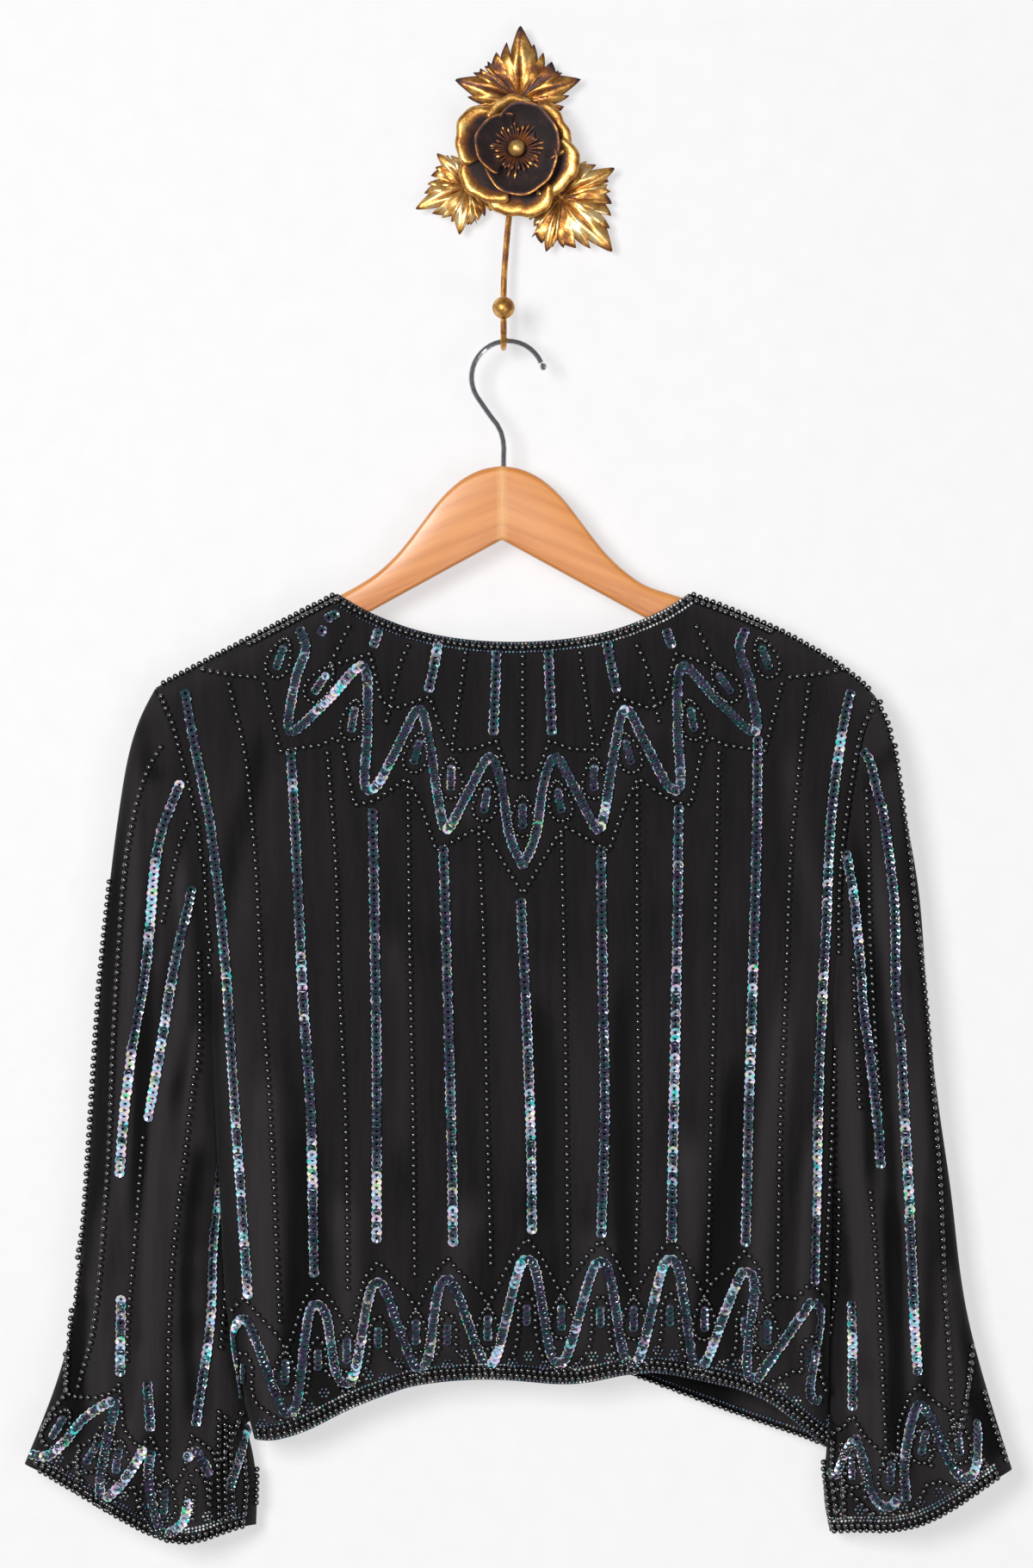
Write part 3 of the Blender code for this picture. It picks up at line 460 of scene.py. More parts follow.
# What makes a bead or sequin light or dark: a middle value, random patches, painted light and shade from a
# rising line, a painted shine, and chance
MIDDLE_TINT, PATCH_TINT, RISING_PAINTED_LIGHT, PAINTED_SHINE_TINT, CHANCE_TINT = 0.42, 0.40, 0.24, 0.30, 0.20
PATCH_X, PATCH_Z = 0.035, 0.024     # steps of the patches' noise for a millimetre


def tone_and_glint_at(skin, x, z, ahead_x, ahead_z, dim):
    """Share of light, from 0 to 1, of what is sewn on at a place: random tone with painted light and shade.
    """
    patch = noise(Vector((x * PATCH_X, z * PATCH_Z, skin.facing * 3)))
    # Painted light and shade by slant: lines that lean one way are lighter, the other way darker
    rising = 2 * ahead_x * ahead_z / (ahead_x ** 2 + ahead_z ** 2)
    # Painted highlight along each listed shine
    lit = sum(exp(-((x - shine.x) / PAINTED_SHINE_WIDTH) ** 4 - ((z - shine.z) / shine.half) ** 4)
              for shine in PAINTED_SHINES) - dim
    tint = (MIDDLE_TINT + PATCH_TINT * patch + RISING_PAINTED_LIGHT * rising + PAINTED_SHINE_TINT * lit
            + CHANCE_TINT * CHANCE.uniform(-1, 1))
    return min(max(tint, 0), 1)


class Work:
    """Beads or sequins of one kind on one piece of cloth, gathered and then made as one mesh."""

    def __init__(self, skin, shape, finish, lift, lean=0.0, sway=0.0):
        self.skin = skin
        self.shape = shape
        self.finish = finish
        self.lift = lift            # centre above the cloth, in millimetres
        self.lean = lean            # degrees that each leans back along its line
        self.sway = sway            # degrees of chance in that
        self.rows = []

    def lay(self, places, size=1.0, dim=0.0):
        """Sets one at each place. Dim is taken from its share of a painted shine."""
        skin = self.skin
        for x, z, ahead_x, ahead_z in places:
            found = touch(skin, x, z) or touch(skin, x * INWARD, z) or touch(skin, x * INWARD ** 2, z)
            if not found:
                continue
            place, normal = found
            along = Vector((ahead_x, 0, ahead_z))
            along -= normal * along.dot(normal)
            if along.length < 1e-6:
                continue
            along.normalize()
            turned = Matrix((along, normal.cross(along), normal)).transposed()
            tilt = radians(self.lean + self.sway * CHANCE.uniform(-1, 1))
            roll = radians(self.sway * CHANCE.uniform(-1, 1))
            turned = turned @ Matrix.Rotation(tilt, 3, "Y") @ Matrix.Rotation(roll, 3, "X")
            scale = size * CHANCE.uniform(0.95, 1.05)
            self.rows.append((place + normal * self.lift * MM, turned.to_euler(), (scale, scale, scale),
                              tone_and_glint_at(skin, x, z, ahead_x, ahead_z, dim)))

    def make(self, name):
        cloud = bpy.data.meshes.new("places")
        cloud.from_pydata([row[0] for row in self.rows], [], [])
        for column, label, kind, key in ((1, "turn", "FLOAT_VECTOR", "vector"),
                                         (2, "size", "FLOAT_VECTOR", "vector"),
                                         (3, "tint", "FLOAT", "value")):
            values = np.array([row[column] for row in self.rows], float).ravel()
            cloud.attributes.new(label, kind, "POINT").data.foreach_set(key, values)
        draft = placed("draft", cloud)
        sewn = draft.modifiers.new("sewn_on", "NODES")
        sewn.node_group = SEWN_ON
        for item in SEWN_ON.interface.items_tree:
            if item.name == "Shape":
                sewn[item.identifier] = self.shape
            elif item.name == "Finish":
                sewn[item.identifier] = self.finish
        piece = placed(name, baked(draft))
        bpy.data.objects.remove(draft)
        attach(piece, "root")
        return piece


SHAPES = []             # what the beadwork is made from, which leaves the scene at the end


def shape_object(name, bm):
    SHAPES.append(placed(name, mesh_of(bm, name)))
    return SHAPES[-1]


def round_bead(radius, sides=7, rings=4):
    bm = bmesh.new()
    bmesh.ops.create_uvsphere(bm, u_segments=sides, v_segments=rings, radius=radius * MM)
    return shape_object("bead", bm)


# Rings of a cup sequin: reach and height in its radii, and the shares of rim and cone that its film has there
# The rim share is where painted flashes fall, at the sides of the cup
SEQUIN_RINGS = table("reach height rim cone", (0.24, 0.0, 0.0, 0.5), (0.62, 0.10, 0.0, 1.0),
                     (0.93, 0.26, 0.9, 0.9), (1.0, 0.30, 1.0, 0.0))
SEQUIN_SIDES = 8


def cup_sequin(radius):
    """A faceted cup, its rim towards the viewer and a small flat in the middle."""
    bm = bmesh.new()
    rim, cone = bm.verts.layers.float.new("rim"), bm.verts.layers.float.new("cone")
    rings = []
    for ring in SEQUIN_RINGS:
        rings.append([])
        for k in range(SEQUIN_SIDES):
            out, side = cos(2 * pi * k / SEQUIN_SIDES), sin(2 * pi * k / SEQUIN_SIDES)
            corner = bm.verts.new(Vector((ring.reach * out, ring.reach * side, ring.height)) * radius * MM)
            # Painted flashes: the rim share is strongest at the two sides of the cup
            corner[rim], corner[cone] = ring.rim * abs(side), ring.cone
            rings[-1].append(corner)
    bm.faces.new(rings[0])
    for inner, outer in zip(rings, rings[1:]):
        for k in range(SEQUIN_SIDES):
            m = (k + 1) % SEQUIN_SIDES
            bm.faces.new((inner[k], inner[m], outer[m], outer[k]))
    return shape_object("sequin", bm)


def black_glass():
    paint = Paint("black_glass", Specular_IOR_Level=1.0, Coat_Weight=1.0, Coat_Roughness=0.03, Coat_IOR=1.65)
    tint = paint.attribute("tint")
    # Random tone with painted light: beads high in tone, as along painted shines, are lighter and a little
    # rougher
    paint.colour(paint.ramp(tint, [(0.0, (0.0012, 0.0012, 0.0014)), (0.8, (0.003, 0.003, 0.004)),
                                   (1.0, (0.012, 0.010, 0.014))]))
    paint.roughness(tint * 0.08 + 0.05)
    return paint.material


def sequin_film():
    """Dark foil with an oily play of colour: slate, teal and violet, dark at the edge, with painted
    highlights:
    bright flashes at the sides of each cup and bright stretches where a row catches the light."""
    paint = Paint("sequin_film", Coat_Weight=0.7, Coat_Roughness=0.06)
    tint, rim, cone = (paint.attribute(name) for name in ("tint", "rim", "cone"))
    hue = paint.noise(150.0, 2.0)
    film = paint.ramp(hue * 0.8 + tint * 0.2, [
        (0.30, (0.020, 0.090, 0.094)), (0.38, (0.050, 0.062, 0.088)), (0.45, (0.088, 0.050, 0.140)),
        (0.51, (0.018, 0.112, 0.104)), (0.57, (0.056, 0.064, 0.084)), (0.64, (0.104, 0.056, 0.116)),
        (0.72, (0.036, 0.112, 0.082))])
    film = paint.mix(cone * 0.75 + 0.25, (0.006, 0.007, 0.010, 1), film)
    # Painted highlights: the colours of the flashes and of the bright stretches
    painted_flash = paint.ramp(paint.noise(190.0, 1.0), [
        (0.32, (0.03, 0.66, 0.66)), (0.40, (0.62, 0.95, 0.92)), (0.45, (0.42, 0.50, 0.95)),
        (0.50, (0.62, 0.93, 0.92)), (0.54, (0.82, 0.40, 0.82)), (0.58, (0.98, 0.82, 0.92)),
        (0.64, (0.90, 0.90, 0.50)), (0.72, (0.10, 0.82, 0.58))])
    # Painted glints: dots at the cups' sides and stretches along the painted shines, brighter and less
    # metallic
    painted_spark = paint.rise(paint.noise(560.0, 1.0) * 0.75 + tint * 0.35, 0.47, 0.52)
    dot = painted_spark * paint.rise(rim, 0.42, 0.78)
    stretch = paint.rise(tint + paint.noise(420.0, 1.0) * 0.30, 0.79, 0.93)
    painted_glint = dot.combine("MAXIMUM", dot, stretch * cone)
    paint.colour(paint.mix(painted_glint, film, painted_flash))
    paint.metallic(0.55 - painted_glint * 0.5)
    paint.roughness(0.30 - painted_glint * 0.1)
    return paint.material


def oily_glass():
    """Dark seed beads with the same play of colour, and painted glints where their tone runs high."""
    paint = Paint("oily_glass", Metallic=0.4, Roughness=0.18, Coat_Weight=0.8, Coat_Roughness=0.05)
    tint = paint.attribute("tint")
    # Painted glints: the pale colours at the top of the ramp
    paint.colour(paint.ramp(tint, [
        (0.00, (0.010, 0.012, 0.020)), (0.28, (0.040, 0.070, 0.110)), (0.42, (0.150, 0.110, 0.190)),
        (0.52, (0.060, 0.200, 0.220)), (0.66, (0.340, 0.290, 0.250)), (0.84, (0.700, 0.750, 0.800))]))
    return paint.material


# Distances from one to the next along a line
BEAD_PITCH = 4.5        # the upright lines
OUTLINE_PITCH = 4.6     # the hem's upper outline
CUP_PITCH = 4.2         # the U under a peak, and the hem's lower outline
CUFF_PITCH = 4.0        # outlines and upright rows of a cuff
SEAM_PITCH = 4.0        # along the shoulders
CLOSE_PITCH = 3.6       # the beads of a band
SEED_PITCH = 2.1        # and its seed beads
SEQUIN_PITCH = 3.6      # along the upright stripes
SCALE_PITCH = 3.0       # along the zigzags, where they overlap more
LEAF_PITCH = 2.6        # in a leaf
LEAF_RING = 18          # beads round a leaf
LEAF_REACH, LEAF_WIDTH, LEAF_TAPER = 6.6, 6.4, 0.35     # how far they stand round its row
FLOWER_REACH = 2.4
CUP_STEPS = [(6.5, -22), (5, -7.7), (0, 0)]     # the U's points, as steps from its top
BEAD, SEQUIN, SEED = round_bead(1.85), cup_sequin(3.1), round_bead(1.0, 5, 3)
GLASS, FILM, OILY = black_glass(), sequin_film(), oily_glass()


def peaked(x, z, steps, ahead=1):
    """Points up to a peak and down again. Steps are (aside, up) from the place, the peak last."""
    rising = [(x - aside * ahead, z + up) for aside, up in steps]
    return rising + [(x + aside * ahead, z + up) for aside, up in steps[-2::-1]]


class Sewing:
    """All the beadwork of one side of one cloth."""

    def __init__(self, skin):
        self.skin = skin
        self.beads = Work(skin, BEAD, GLASS, 1.35)
        self.sequins = Work(skin, SEQUIN, FILM, 1.0, 11.0, 6.0)
        self.seeds = Work(skin, SEED, OILY, 0.9)

    def bead_line(self, points, pitch=BEAD_PITCH, rounded=True):
        self.beads.lay(paced(curve(points) if rounded else np.array(points, float), pitch))

    def sequin_line(self, points, pitch=SEQUIN_PITCH):
        self.sequins.lay(paced(curve(points), pitch))

    def flower(self, x, z):
        """Six seed beads round one."""
        ring = [(x + FLOWER_REACH * cos(a * pi / 3), z + FLOWER_REACH * sin(a * pi / 3), 1, 0)
                for a in range(6)]
        self.seeds.lay(ring + [(x, z, 1, 0)])

    def leaf(self, x, z, tilt=90, count=5, ringed=True):
        """A short row of dull sequins, inside a pointed ring of black beads unless other beads frame it."""
        along = Vector((cos(radians(tilt)), sin(radians(tilt))))
        half = LEAF_PITCH * (count - 1) / 2
        steps = [k * LEAF_PITCH - half for k in range(count)]
        row = [(x + along.x * step, z + along.y * step, along.x, along.y) for step in steps]
        self.sequins.lay(row, size=0.85, dim=0.8)
        if not ringed:
            return
        ring = []
        for k in range(LEAF_RING):
            angle = 2 * pi * k / LEAF_RING
            out = (half + LEAF_REACH) * cos(angle)
            wide = LEAF_WIDTH * sin(angle) * (1 - LEAF_TAPER * cos(angle))
            ring.append((x + along.x * out - along.y * wide, z + along.y * out + along.x * wide, 1, 0))
        self.beads.lay(ring, size=0.9)

    def cup_ring(self, x, z):
        """A U of black beads under a peak of the zigzag."""
        self.bead_line(peaked(x, z, CUP_STEPS), CUP_PITCH)

    def band(self, line, rows):
        """Close rows along an edge. Rows are (distance in from it, kind)."""
        for distance, kind in rows:
            side = beside(line, distance)
            if kind == "bead":
                self.beads.lay(paced(side, CLOSE_PITCH))
            else:
                self.seeds.lay(paced(side, SEED_PITCH))

    def finish(self):
        name = self.skin.name
        made = []
        for work, label in ((self.beads, "beads"), (self.sequins, "sequins"), (self.seeds, "seed_beads")):
            if work.rows:
                made.append(work.make(f"{name}_{label}"))
        return made


# Stripes of the body
# Upright stripes of cup sequins, sewn on so that each leans back on the one before, alternate with single
# lines of round beads, from the yoke to the hem. Bead lines also follow the armholes and a side seam.
STRIPES = [
    [(-192.5, -316), (-187.5, -345), (-177.5, -395), (-169, -470), (-164, -540), (-155, -667)],
    [(-131, -350), (-127.5, -415), (-124, -490), (-119, -565), (-117, -655)],
    [(-83.5, -385), (-82, -465), (-81, -540), (-81, -635)],
    [(-42.5, -407), (-40, -490), (-38, -565), (-36.5, -637)],
    [(2.5, -437), (6, -515), (8, -575), (9, -630)],
    [(49, -407), (50, -490), (51, -565), (49, -632)],
    [(94, -383), (93, -465), (91, -565), (90, -635)],
    [(140, -343), (139, -415), (136, -515), (133, -637)],
    [(194, -316), (189, -340), (182.5, -390), (178.5, -465), (175, -540), (172, -660)],
]
BEAD_LINES = [
    [(-167.5, -310), (-157.5, -355), (-151.5, -415), (-147.5, -490), (-142.5, -565), (-137.5, -683)],
    [(-110, -350), (-105, -415), (-102.5, -490), (-99, -565), (-97.5, -664)],
    [(-63, -370), (-62, -465), (-60, -565), (-59, -656)],
    [(-22, -397), (-19, -465), (-17, -565), (-15, -650)],
    [(26, -398), (27.5, -467), (29, -560), (30, -650)],
    [(70, -370), (70, -465), (71, -565), (69, -655)],
    [(117.5, -350), (116, -415), (114, -515), (110, -660)],
    [(170, -310), (165, -350), (159, -415), (156, -490), (152.5, -565), (151, -668)],
]
ARMHOLES = [
    [(-211, -318), (-201.5, -330), (-193.5, -358), (-187.5, -381), (-184, -399), (-182, -422),
     (-180.5, -446), (-178, -469), (-176.5, -482)],
    [(209, -322), (200, -340), (195, -365), (189, -405), (186.5, -440), (186, -470)],
]
SIDE_SEAMS = [
    [(184, -522), (182, -573), (180, -620), (178, -660)],
]


def stripes(sewing, leave_out=()):
    for number, line in enumerate(STRIPES):
        if number not in leave_out:
            sewing.sequin_line(line)
    for line in BEAD_LINES + ARMHOLES + SIDE_SEAMS:
        sewing.bead_line(line)


# Yoke
# A zigzag of sequins falls to a point at the middle of the back, between two outlines of round beads.
# Short stripes and bead lines run down to it from the neck.
PATTERN_X = 3.5         # middle line of the pattern
YOKE_ZIGZAG = [(-126, -280), (-122.5, -292), (-128.5, -311), (-131.5, -340), (-110, -322), (-89, -302),
               (-86.5, -336), (-88, -370), (-81, -371), (-69, -349), (-56.5, -327), (-50, -350), (-44, -387),
               (-39.5, -396), (-28, -375), (-16, -355), (-9, -369), (-4, -400), (3.5, -418)]
YOKE_UPPER = [(-109, -302), (-85, -294.5), (-78.5, -322), (-71, -326.5), (-50.5, -319.5), (-41.5, -345.5),
              (-37.5, -350.5), (-25, -350), (-12, -345), (-6, -362), (-2, -366.5), (3.5, -367)]
YOKE_LOWER = [(-147.5, -310), (-137, -351), (-113, -347.5), (-105.5, -343), (-101, -348), (-94, -382.5),
              (-82.5, -380), (-63.5, -367), (-55.5, -382.5), (-46.5, -409), (-25, -397), (-21, -395),
              (-16, -401.5), (3.5, -434)]
SHOULDER_LINE = [(-184, -304), (-168, -306.5), (-149.5, -308.5)]
NECK_BEAD_LINES = [[(-96.5, -277), (-109, -302)], [(-62, -288), (-68.5, -303), (-76, -336)],
                   [(-29.5, -292), (-32, -311), (-37.5, -349)], [(3.5, -294), (3.5, -366)]]
NECK_STRIPES = [[(-80, -281), (-83, -290)], [(-45.5, -288), (-48, -302), (-51, -316)],
                [(-11.5, -293), (-12.5, -318), (-13.5, -341)]]
# Places and tilts of the leaves between the zigzag and its outlines
YOKE_LEAVES = table("x z tilt", (-137.5, -297, 70), (-114, -312, 55), (-95, -333, 80), (-58, -352, 75),
                    (-38, -367, 90), (-18, -380, 80))


def mirrored(points):
    """The other half of a pattern, about its middle line."""
    return [(2 * PATTERN_X - x, z) for x, z in points]


def yoke(sewing):
    for flip in (list, mirrored):
        sewing.sequin_line(flip(YOKE_ZIGZAG), SCALE_PITCH)
        sewing.bead_line(flip(YOKE_UPPER), rounded=False)
        sewing.bead_line(flip(YOKE_LOWER), rounded=False)
        for line in NECK_BEAD_LINES[:-1] + [SHOULDER_LINE]:
            sewing.bead_line(flip(line))
        for line in NECK_STRIPES:
            sewing.sequin_line(flip(line))
    sewing.bead_line(NECK_BEAD_LINES[-1])
    for leaf in YOKE_LEAVES:
        sewing.leaf(leaf.x, leaf.z, leaf.tilt)
        sewing.leaf(2 * PATTERN_X - leaf.x, leaf.z, 180 - leaf.tilt)
    sewing.leaf(PATTERN_X, -389)


# Hem of the body
# A second zigzag of sequins stands on a beaded band, under an outline of beads that rises to a point
# below each stripe. Leaves fill its valleys, and little flowers of seed beads stand above the band.
Tooth = namedtuple("Tooth", "peak_x peak_z valley_x valley_z")
HEM_TEETH = [Tooth(*row) for row in (
    (-157.5, -680, -132.5, -734), (-115, -672, -99, -717), (-80, -659, -56.5, -708), (-40, -657, -16.5, -706),
    (6, -646, 25, -705), (48.5, -647, 67, -705), (89, -646, 106.5, -707), (132.5, -653, 139, -714),
    (170, -671, 175, -728))]
# The turns that each line of the hem makes, as steps from a peak, a valley or the nest of a leaf
ZIGZAG_START = [(1, -46), (4, -24)]
ZIGZAG_PEAK, ZIGZAG_VALLEY = [(5.5, -8), (0, 0)], [(5.5, 7), (0, 0)]
UPPER_PEAK, UPPER_NEST = [(8, 3), (0, 12.5)], [(4, 17), (0, 9)]
LOWER_PEAK = [(5, -40), (4.8, -27), (0, -19)]
LOWER_FOOT_X, LOWER_FOOT_Z = 9, 4   # the lower outline's feet beside each peak, above the valley
LOWER_DIP = 5.5                     # it passes this far below a valley
LEAF_DROP, INNER_LEAF_DROP = 4, 32  # leaves below the middle of a nest, and below a peak
FLOWER_INSIDE = 12.5                # flowers above the edge, and their wave there
FLOWER_PITCH, FLOWER_WAVE, FLOWER_CLEAR = 9.5, 3, 8
# Rows of a band: distance in from the edge, and kind
EDGE_ROWS = [(0.8, "seed"), (3.2, "bead"), (6.3, "bead"), (8.8, "seed")]
NECK_ROWS = [(0.8, "seed"), (3.0, "bead"), (5.6, "seed")]


def hem(sewing, teeth, edge):
    """Zigzag, outlines, leaves and band. The edge is the line of the hem, from right to left."""
    ahead = 1 if teeth[-1].peak_x > teeth[0].peak_x else -1
    zigzag = [(teeth[0].peak_x - aside * ahead, teeth[0].peak_z + up) for aside, up in ZIGZAG_START]
    upper, lower = [], []
    for before, tooth, after in zip(teeth[:1] + teeth, teeth, teeth[1:] + [None]):
        valley = peaked(tooth.valley_x, tooth.valley_z, ZIGZAG_VALLEY, ahead)
        zigzag += peaked(tooth.peak_x, tooth.peak_z, ZIGZAG_PEAK, ahead) + valley
        upper += peaked(tooth.peak_x, tooth.peak_z, UPPER_PEAK, ahead)
        lower.append((tooth.peak_x - LOWER_FOOT_X * ahead, before.valley_z + LOWER_FOOT_Z))
        lower += peaked(tooth.peak_x, tooth.peak_z, LOWER_PEAK, ahead)
        lower.append((tooth.peak_x + LOWER_FOOT_X * ahead, tooth.valley_z + LOWER_FOOT_Z))
        if after:
            nest_x = (tooth.peak_x + 2 * tooth.valley_x + after.peak_x) / 4
            nest_z = (tooth.peak_z + tooth.valley_z) / 2
            upper += peaked(nest_x, nest_z, UPPER_NEST, ahead)
            lower.append((tooth.valley_x, tooth.valley_z - LOWER_DIP))
            sewing.leaf(nest_x, nest_z - LEAF_DROP)
        sewing.leaf(tooth.peak_x, tooth.peak_z - INNER_LEAF_DROP, count=4, ringed=False)
    sewing.sequin_line(zigzag[:-1], SCALE_PITCH)
    sewing.bead_line(upper, OUTLINE_PITCH, rounded=False)
    sewing.bead_line(lower, CUP_PITCH)
    sewing.band(edge, EDGE_ROWS)
    for x, z, ahead_x, ahead_z in paced(beside(edge, FLOWER_INSIDE), FLOWER_PITCH):
        if min(abs(x - tooth.valley_x) for tooth in teeth) > FLOWER_CLEAR:
            sewing.flower(x, z + FLOWER_WAVE * sin(x))


EDGE_STEP = 0.4         # how finely an edge is looked for
EDGE_PLACES = 90


def edge_from(skin, x, z, step_x, step_z):
    """Last place on the cloth on the way from a point on it."""
    while touch(skin, x + step_x, z + step_z):
        x += step_x
        z += step_z
    return x, z


def edge_line(skin, start_x, end_x, inside_z, up):
    """The cloth's upper edge, or its lower one where up is -1, between two places across."""
    line = []
    for k in range(EDGE_PLACES + 1):
        x = start_x + (end_x - start_x) * k / EDGE_PLACES
        if touch(skin, x, inside_z):
            line.append(edge_from(skin, x, inside_z, 0, up * EDGE_STEP))
    return np.array(line)


# Heights that lie on the cloth all along the hem and the neck, and where their bands start and end
ON_HEM, ON_NECK = -690, -330
HEM_START, HEM_END = 178, -150
NECK_START, NECK_END = -103, 99
BACK = Sewing(skin_of("back", -1, "back"))
stripes(BACK)
yoke(BACK)
hem(BACK, HEM_TEETH, edge_line(BACK.skin, HEM_START, HEM_END, ON_HEM, -1))
BACK.band(edge_line(BACK.skin, NECK_START, NECK_END, ON_NECK, 1), NECK_ROWS)
SHOULDER_ROWS = table("start end inside_z distance", (-207, -105, -318, 0.8), (-158, -105, -318, 3.8),
                      (101, 206, -321, 0.8), (101, 150, -321, 3.8))
for row in SHOULDER_ROWS:
    seam = edge_line(BACK.skin, row.start, row.end, row.inside_z, 1)
    BACK.beads.lay(paced(beside(seam, row.distance), SEAM_PITCH))
BACK.sequin_line([(-113.5, -281), (-112.5, -281.5)])
BACK.sequin_line([(-110.5, -274.5), (-104, -271)], SCALE_PITCH)
BACK_WORK = BACK.finish()


# Sleeves
# Their stripes and bead lines run down to a cuff with its own zigzag, and sink into the folds in places.
# The side by the wall, which the photograph hides, carries the same lines.
SLEEVE_BEADS = {
    "left": [
        [(-205.5, -347), (-216.5, -368), (-223.5, -399), (-227.5, -431), (-230, -466), (-233, -518),
         (-235, -573), (-238, -617), (-241.5, -657), (-245.5, -691), (-254, -722)],
        [(-190.5, -391), (-196, -406), (-201.5, -432), (-206, -452)],
        [(-216, -573), (-220.5, -628), (-225, -680), (-225.5, -706)],
        [(-185, -466), (-184.5, -510), (-188, -551), (-192.5, -582), (-197, -617), (-200.5, -655),
         (-202, -691), (-202.5, -762)],
        [(-235.5, -425), (-241, -478), (-244, -518), (-247.5, -573), (-251, -625), (-255.5, -655),
         (-258.5, -684), (-261, -724)],
        [(-172, -600), (-171, -660), (-173, -700)],
    ],
    "right": [
        [(209.5, -321), (217, -336), (219.5, -352), (223.5, -382), (227.5, -412), (230.5, -442), (237, -498),
         (242, -567), (245, -604), (247.7, -661), (250.5, -703), (252.6, -731), (254.8, -758)],
        [(203, -372), (205, -420), (206.5, -475), (209, -520), (212, -560)],
        [(205.5, -605), (208.4, -647), (211.2, -689), (212.6, -724), (214, -757)],
        [(195, -470), (197, -520), (199, -560)],
        [(188.7, -605), (187.3, -654), (183.7, -692)],
        [(263.9, -695), (261.8, -717), (258.3, -731), (256, -745)],
    ],
}
SLEEVE_SEQUINS = {
    "left": [
        [(-195, -369), (-204.5, -393), (-208, -406), (-210.5, -422), (-212.5, -448), (-215.5, -478),
         (-222.5, -518), (-227, -559), (-230, -597)],
        [(-229, -667), (-229.5, -712)],
        [(-189, -430), (-195, -460), (-201, -490), (-205, -518), (-211, -553), (-213, -565)],
        [(-214, -716), (-212.5, -744)],
        [(-173.5, -581), (-175, -609), (-177.5, -640), (-178, -670), (-179.5, -691), (-182.5, -713),
         (-186.5, -742)],
    ],
    "right": [
        [(201, -351), (205, -357), (209.5, -375), (213, -390), (217.5, -427), (219, -444), (220, -494),
         (222.5, -518), (226.5, -591), (229, -641), (231, -689), (232.3, -712)],
        [(190.5, -406), (193.5, -423), (196, -441), (199.5, -477), (201, -501), (205.5, -529), (210, -567),
         (211.5, -592)],
        [(195.5, -671), (195.7, -703), (195.7, -733)],
    ],
}
CUFF_ZIGZAG = {
    "left": [
        [(-281.5, -760), (-271.5, -760), (-261.9, -752), (-247.8, -736), (-233, -728), (-235.9, -745),
         (-240.8, -771), (-240, -784), (-229.5, -776), (-219.7, -761), (-216.9, -755)],
        [(-212, -757), (-213.4, -771), (-209.9, -792), (-204.5, -804), (-194.4, -799), (-190.2, -786)],
        [(-191.6, -761), (-186.7, -757), (-181.7, -765), (-178.9, -771)],
        [(-167.7, -780), (-162.7, -764), (-158, -746)],
    ],
    "right": [
        [(183, -771), (187.3, -772), (192.2, -760), (197.8, -751), (202, -764), (206.2, -779), (210.5, -787),
         (217, -789), (221.7, -783)],
        [(225.9, -785), (225.2, -767), (228.7, -743), (233, -730), (240, -737), (247, -754), (254, -768),
         (261, -772), (266, -765), (266.7, -748), (266, -740)],
    ],
}
CUFF_OUTLINE = {
    "left": [
        [(-261.2, -724), (-254.8, -726), (-243.6, -725.5), (-234.5, -723), (-230.2, -718), (-228.8, -731),
         (-227.4, -743), (-219.7, -754), (-212, -748.5), (-207, -758), (-204, -771), (-198.6, -777),
         (-193, -768), (-188.8, -748), (-177.5, -757), (-174.7, -766), (-167.7, -754), (-161, -735)],
        [(-280, -764), (-271, -766), (-262, -768), (-256, -763), (-252, -772), (-246, -786), (-240, -792),
         (-230, -784), (-222, -776), (-219, -790), (-212, -802), (-204.5, -810)],
    ],
    "right": [
        [(181.6, -752), (188, -747), (195.7, -737), (202, -748), (211.9, -758), (214, -771), (221, -760),
         (221.7, -743), (228.7, -723), (233, -718), (241.4, -727), (251, -734), (254, -752), (259, -735),
         (263, -700)],
        [(186, -780), (196, -783), (204, -791), (213, -796), (222, -792), (231, -790), (238, -776),
         (246, -774), (256, -778), (266, -774), (273, -764)],
    ],
}
# Short upright rows of beads on the cuff
CUFF_COLUMNS = {
    "left": [
        [(-173.6, -733), (-174.5, -765), (-173.5, -800)], [(-170.3, -736), (-170.6, -765), (-169.5, -800)],
        [(-167.9, -742), (-166.6, -772), (-165.0, -799)], [(-160.5, -759), (-158.5, -780), (-160, -797)],
        [(-154.5, -746), (-152.6, -765), (-153.2, -792)], [(-178.5, -774), (-179.5, -799)],
        [(-187.5, -776), (-188.5, -798)], [(-253.5, -752), (-254.5, -782)],
        [(-261.4, -700), (-261.4, -724.8), (-268.8, -734.6), (-274.6, -746)],
    ],
    "right": [
        [(181.5, -745), (180.5, -770), (184.5, -800)], [(186, -752), (185, -775), (188.5, -800)],
        [(190.5, -752), (190, -775), (192.5, -798)], [(206, -792), (207, -803)],
        [(270, -722), (277, -745), (284, -765)],
    ],
}
CUFF_RINGS = {"left": [(-238, -740), (-212, -769), (-186, -768)], "right": [(197, -764), (234, -745)]}
CUFF_LEAVES = {
    "left": table("x z tilt", (-266, -744, 60), (-246, -758, 60), (-231, -762, 80), (-204, -786, 85)),
    "right": table("x z tilt", (196, -767, 90), (217, -770, 88), (236, -752, 78), (256, -752, 95)),
}
CUFF_SPANS = {"left": (-153, -285), "right": (287, 185)}
ON_CUFF = -745          # height that lies on the cloth all along the cuff
CUFF_FLOWER_PITCH = 15
CUFF_ROWS = [(0.4, "bead"), (3.4, "bead"), (6.0, "seed"), (7.9, "seed")]


